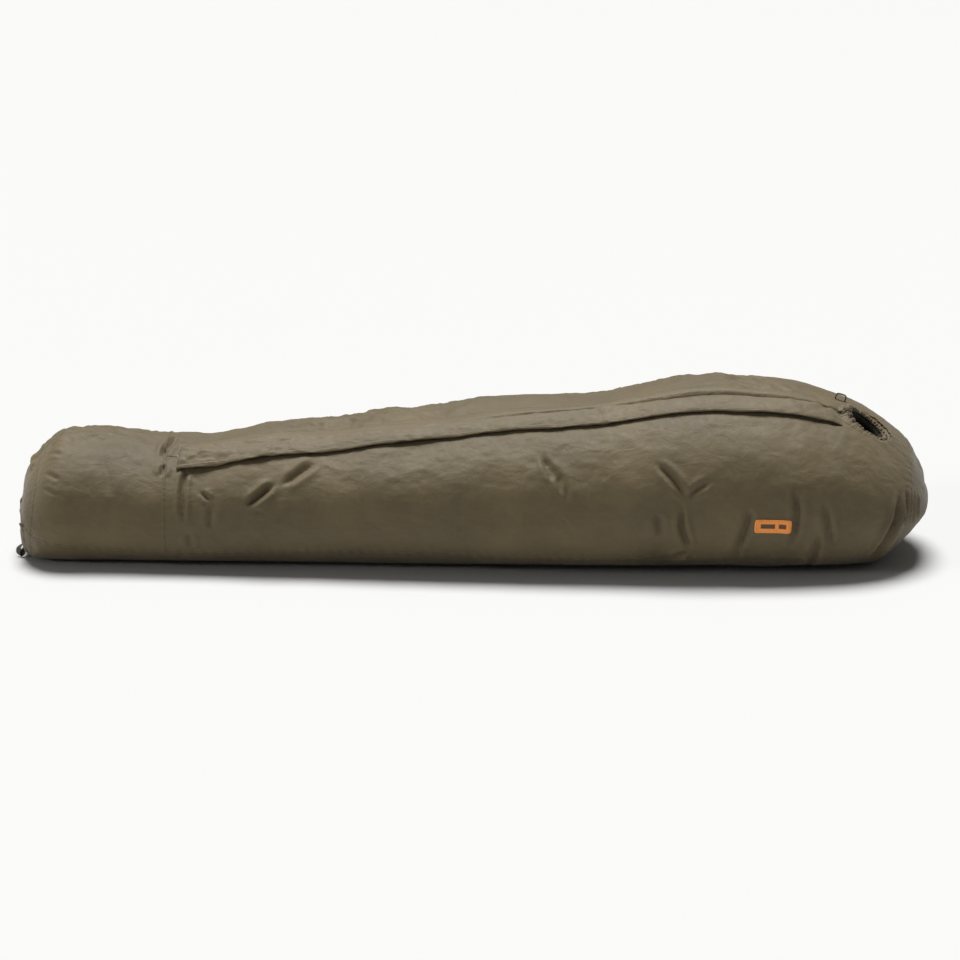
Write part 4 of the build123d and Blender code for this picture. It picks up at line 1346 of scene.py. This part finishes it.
def face_gather():
    """The gathered casing as one sheet round the oval: fine crumples, bunched where the cord leaves at
    the foot end."""
    points, uv = [], []
    for turn in np.linspace(0, 2 * math.pi, GATHER_TURNS, endpoint=False):
        signed = turn - 2 * math.pi if turn > math.pi else turn
        bunch = math.exp(-(((abs(signed) - math.pi) / 0.62) ** 2))
        head = math.exp(-((signed / 0.55) ** 2))
        line = gather_profile(0.0050 + 0.0046 * bunch + 0.0010 * head)
        fine = np.linspace(0, len(line) - 1, GATHER_STEPS)
        radial = np.interp(fine, range(len(line)), line[:, 0])
        height = np.interp(fine, range(len(line)), line[:, 1])
        across_dir = Vector((math.cos(turn) * FACE_WIDE, math.sin(turn) * FACE_LONG)).normalized()
        near_lip = max(0.0, -math.sin(turn))
        for step in range(GATHER_STEPS):
            share = step / GATHER_STEPS
            around = Vector((5.2 * math.cos(turn), 5.2 * math.sin(turn), 1.6 * share))
            crease = 1 - 2.2 * abs(noise.fractal(around, 0.8, 2.1, 4))
            full = math.exp(-(((share - 0.40) / 0.26) ** 2)) + 0.25
            push = (0.0036 + 0.0052 * bunch + 0.0016 * head) * (crease - 0.35) * full
            r, h = radial[step], height[step]
            length = math.hypot(r, h) or 1e-6
            r += push * r / length * 0.6 + 0.0030 * near_lip
            h += push * max(0.3, h / length)
            spot = to_face(
                FACE_LONG * math.cos(turn) + across_dir.x * r,
                FACE_WIDE * math.sin(turn) + across_dir.y * r, 0
            )
            found = sewn_tree.ray_cast(spot + 0.08 * FACE_OUT, -FACE_OUT)[0] if step < 12 else None
            level = (found - spot).dot(FACE_OUT) * (1 - step / 12) if found else 0.0
            points.append(spot + FACE_OUT * float(h + level))
            uv.append((turn * 0.047, fine[step] * 0.003))
    faces = quads(GATHER_TURNS, GATHER_STEPS).tolist()
    last, width = GATHER_TURNS - 1, GATHER_STEPS
    faces += [[last * width + k, last * width + k + 1, k + 1, k] for k in range(width - 1)]
    made = build("face_casing", points, faces, SHELL, uv)
    # The inner faces of the casing get the dark lining, which is painted shade inside the face opening.
    made.data.materials.append(LINING_PAINTED_SHADE)
    for number, polygon in enumerate(made.data.polygons):
        polygon.material_index = int(number % (width - 1) >= SHADE_PAINTED_FROM)
    return made, np.array(points).reshape(GATHER_TURNS, GATHER_STEPS, 3)


casing, casing_points = face_gather()
middle_face = casing.data.polygons[GATHER_STEPS // 3]
if (Vector(middle_face.center) - FACE_ORIGIN).dot(middle_face.normal) < 0 and middle_face.normal.dot(
    FACE_OUT
) < 0:
    casing.data.flip_normals()
casing = thicken(casing, 0.0012)
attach(casing, "shell")
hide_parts("face_collar")
loop_row = np.concatenate([casing_points[:, 3], casing_points[:1, 3]])
stitch_lines["shell"].append(loop_row + 0.0006 * np.array(FACE_OUT))

# ---------------------------------------------------------------- label

LABEL_X, LABEL_Z, LABEL_LONG, LABEL_HIGH = 0.684, 0.143, 0.084, 0.0335
LABEL_TURN, LABEL_FLAT = math.radians(-2.5), 0.95


def label_patch():
    """A rounded patch that follows the left side, with a turned edge."""
    columns_count, rows_count = 46, 22
    corner = 0.006
    points, uv = [], []
    for i in range(rows_count + 1):
        for j in range(columns_count + 1):
            a = (j / columns_count - 0.5) * LABEL_LONG
            b = (i / rows_count - 0.5) * LABEL_HIGH
            over_a, over_b = abs(a) - LABEL_LONG / 2 + corner, abs(b) - LABEL_HIGH / 2 + corner
            if over_a > 0 and over_b > 0:
                far = math.hypot(over_a, over_b)
                pull = min(1.0, corner / far) if far > corner else 1.0
                a = math.copysign(LABEL_LONG / 2 - corner + over_a * pull, a)
                b = math.copysign(LABEL_HIGH / 2 - corner + over_b * pull, b)
            edge = max(abs(a) - LABEL_LONG / 2, abs(b) - LABEL_HIGH / 2) + 0.003
            x = LABEL_X + a * math.cos(LABEL_TURN) - b * math.sin(LABEL_TURN)
            z = LABEL_Z + (a * math.sin(LABEL_TURN) + b * math.cos(LABEL_TURN)) * LABEL_FLAT
            base, out = on_left(x, z)
            lift = 0.0016 + (0.0003 if edge > 0 else 0.0) + 0.0003 * noise.noise(Vector((a * 60, b * 60, 4)))
            points.append(base + out * lift)
            uv.append((a, b))
    made = build("label_woven", points, quads(rows_count + 1, columns_count + 1), LABEL, uv)
    return made, np.array(points).reshape(rows_count + 1, columns_count + 1, 3)


label, label_grid = label_patch()
if label.data.polygons[300].normal.y > 0:
    label.data.flip_normals()
label = thicken(label, 0.0011)
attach(label, "shell")
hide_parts("label_patch")
border = np.concatenate(
    [label_grid[2, 3:-3], label_grid[3:-3, -3], label_grid[-3, 3:-3][::-1], label_grid[3:-3, 2][::-1]]
)
border[:, 1] -= 0.0002
stitch_lines["shell"].append(np.concatenate([border, border[:1]]))

# ---------------------------------------------------------------- webbing loops


def strap(name, path, side, width, thick, body, node):
    """Webbing bent along a path: a flat band with rounded edges and its own ribs."""
    path = np.asarray(path, float)
    ahead = np.gradient(path, axis=0)
    ahead /= np.linalg.norm(ahead, axis=1)[:, None]
    side = np.broadcast_to(np.array(side, float), path.shape)
    out = np.cross(ahead, side)
    out /= np.linalg.norm(out, axis=1)[:, None]
    turns = [math.radians(a) for a in (90, 120, 155, 180, 205, 240, 270, 300, 335, 0, 25, 60)]
    shape = [(width / 2 * max(-1, min(1, 1.25 * math.cos(t))), thick / 2 * math.sin(t)) for t in turns]
    run = np.concatenate([[0], np.cumsum(np.linalg.norm(np.diff(path, axis=0), axis=1))])
    points, uv = [], []
    for k in range(len(path)):
        for wide, high in shape:
            points.append(path[k] + side[k] * wide + out[k] * high)
            uv.append((run[k], wide))
    count = len(shape)
    faces = quads(len(path), count, True).tolist()
    faces += [list(range(count))[::-1], [(len(path) - 1) * count + k for k in range(count)]]
    made = build(name, points, faces, WEBBING, uv)
    centre_face = made.data.polygons[0]
    if (Vector(centre_face.center) - Vector(path[0])).dot(centre_face.normal) < 0:
        made.data.flip_normals()
    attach(made, body)
    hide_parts(node)
    return made


loop_top = Vector((-1.0666, -0.058, 0.0308))
lean = math.radians(25)
loop_down = Vector((-math.sin(lean), 0, -math.cos(lean)))
loop_side = Vector((-math.cos(lean), 0, math.sin(lean)))
LOOP_LONG, LOOP_OPEN = 0.0290, 0.0058
LOOP_TWIST = 0.85
loop_path, loop_sides = [], []
for step in range(49):
    turn = 2 * math.pi * step / 48
    down = LOOP_LONG / 2 * (1 - math.cos(turn))
    bulge = LOOP_OPEN * math.sin(turn) * (0.65 + 0.35 * math.sin(min(turn, 2 * math.pi - turn)))
    loop_path.append(loop_top + loop_down * down + loop_side * bulge)
    twist = LOOP_TWIST * float(smooth(down / LOOP_LONG, 0.0, 0.7))
    loop_sides.append(Vector((0, 1, 0)) * math.cos(twist) + loop_side * math.sin(twist))
strap("foot_loop_webbing", loop_path, loop_sides, 0.0170, 0.0016, "foot_loop", "foot_loop")

hang_ahead = Vector((0.952, 0, -0.306))
hang_up = Vector((0.306, 0, 0.952))
hang_foot = Vector((0.8598, -0.0162, 0.3754))
HANG_HALF, HANG_HIGH, HANG_CORNER = 0.0118, 0.0125, 0.0035
hang_path = []
for along, high in ((-1, -0.004), (-1, 0.001), (-1.02, 0.005), (
    -1, HANG_HIGH - HANG_CORNER
), (-0.9, HANG_HIGH - 0.0012),
                    (-0.68, HANG_HIGH), (0, HANG_HIGH + 0.0004), (0.68, HANG_HIGH), (0.9, HANG_HIGH - 0.0012),
                    (1, HANG_HIGH - HANG_CORNER), (1.02, 0.005), (1, 0.001), (1, -0.004)):
    hang_path.append(hang_foot + hang_ahead * HANG_HALF * along + hang_up * (high - 0.003))
hang_path = even(np.array(hang_path), 40)
strap("hang_loop_webbing", hang_path, (0, 1, 0), 0.0078, 0.0030, "hang_loop", "hood_hang_loop")

# ---------------------------------------------------------------- drawcord's knot


def knot():
    """An overhand knot in the drawcord's two tails."""
    low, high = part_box("drawcord_knot")
    middle = (low + high) / 2
    path = []
    for step in range(96):
        t = 2 * math.pi * step / 96
        x = math.sin(t) + 2 * math.sin(2 * t)
        y = math.cos(t) - 2 * math.cos(2 * t)
        path.append(middle + Vector((x * 0.00125, y * 0.00125, -math.sin(3 * t) * 0.0026)))
    points, faces = tube(path, 0.0015, 10)
    made = build("drawcord_overhand_knot", points, faces, BRAID)
    return made


tied = knot()
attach(tied, "shell")
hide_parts("drawcord_knot")

# ---------------------------------------------------------------- stitches, once every line is known

shell_stitches = set_along("shell_stitches", stitch_lines["shell"], STITCH_TREE, 0.0046, 0.0030, 0.0006)
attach(shell_stitches, "shell")
flap_stitches = set_along("flap_stitches", stitch_lines["flap"], STITCH_TREE, 0.0046, 0.0030, 0.0006)
for piece in (flap, flap_stitches):
    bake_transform(piece)
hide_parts("storm_flap", "storm_flap_head")

# ---------------------------------------------------------------- hardware kept from the frame

HARDWARE = {
    ZINC: ("upper_slider", "upper_pull", "lower_slider", "lower_pull", "zip_foot_stop", "zip_head_stop"),
    EYELET: ("casing_eyelet",),
    SPRING: ("cord_lock_spring",),
    LOCK: ("cord_lock_body", "cord_lock_plunger"),
    BRAID: ("face_drawcord",),
}
for material, names in HARDWARE.items():
    for name in names:
        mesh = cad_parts[name].data
        mesh.materials.clear()
        mesh.materials.append(material)

# ---------------------------------------------------------------- stage and light

# Painted studio floor: pale, matt, with the faintest tooth.
paint, paint_tree = blank("studio_floor_paint")
paint_place = add(paint_tree, "ShaderNodeTexCoord")
tooth = add(paint_tree, "ShaderNodeTexNoise", Vector=paint_place.outputs["Object"], Scale=60.0)
paint_bump = add(paint_tree, "ShaderNodeBump", Height=tooth.outputs["Fac"], Distance=0.0005, Strength=0.1)
paint_shader = add(
    paint_tree,
    "ShaderNodeBsdfPrincipled",
    Base_Color=colour("#c6c6c5"),
    Roughness=0.9,
    Normal=paint_bump.outputs[0],
)
add(paint_tree, "ShaderNodeOutputMaterial", Surface=paint_shader.outputs[0])
floor = build(
    "studio_floor", [
        (-14, -14, -0.001), (14, -14, -0.001), (14, 14, -0.001), (-14, 14, -0.001)
    ], [(0, 1, 2, 3)], paint
)

bpy.context.scene.view_settings.view_transform = "Standard"
world = bpy.data.worlds.new("studio")
bpy.context.scene.world = world
world.use_nodes = True
world.node_tree.nodes.clear()
sky = add(world.node_tree, "ShaderNodeBackground", Color=colour("#ffffff"), Strength=0.12)
add(world.node_tree, "ShaderNodeOutputWorld", Surface=sky.outputs[0])

LIGHTS = (
    ("overhead_silk", (-0.05, 0.22, 1.0), 4.9, 0.55),
    ("foot_end_strip", (-1.0, -0.42, 0.30), 0.6, 0.18),
)
for name, toward, strength, spread in LIGHTS:
    lamp = bpy.data.lights.new(name, "SUN")
    lamp.energy, lamp.angle = strength, spread
    holder = bpy.data.objects.new(name, lamp)
    holder.location = Vector(toward) * 3
    holder.rotation_euler = Vector(toward).to_track_quat("Z", "Y").to_euler()
    bpy.context.scene.collection.objects.link(holder)
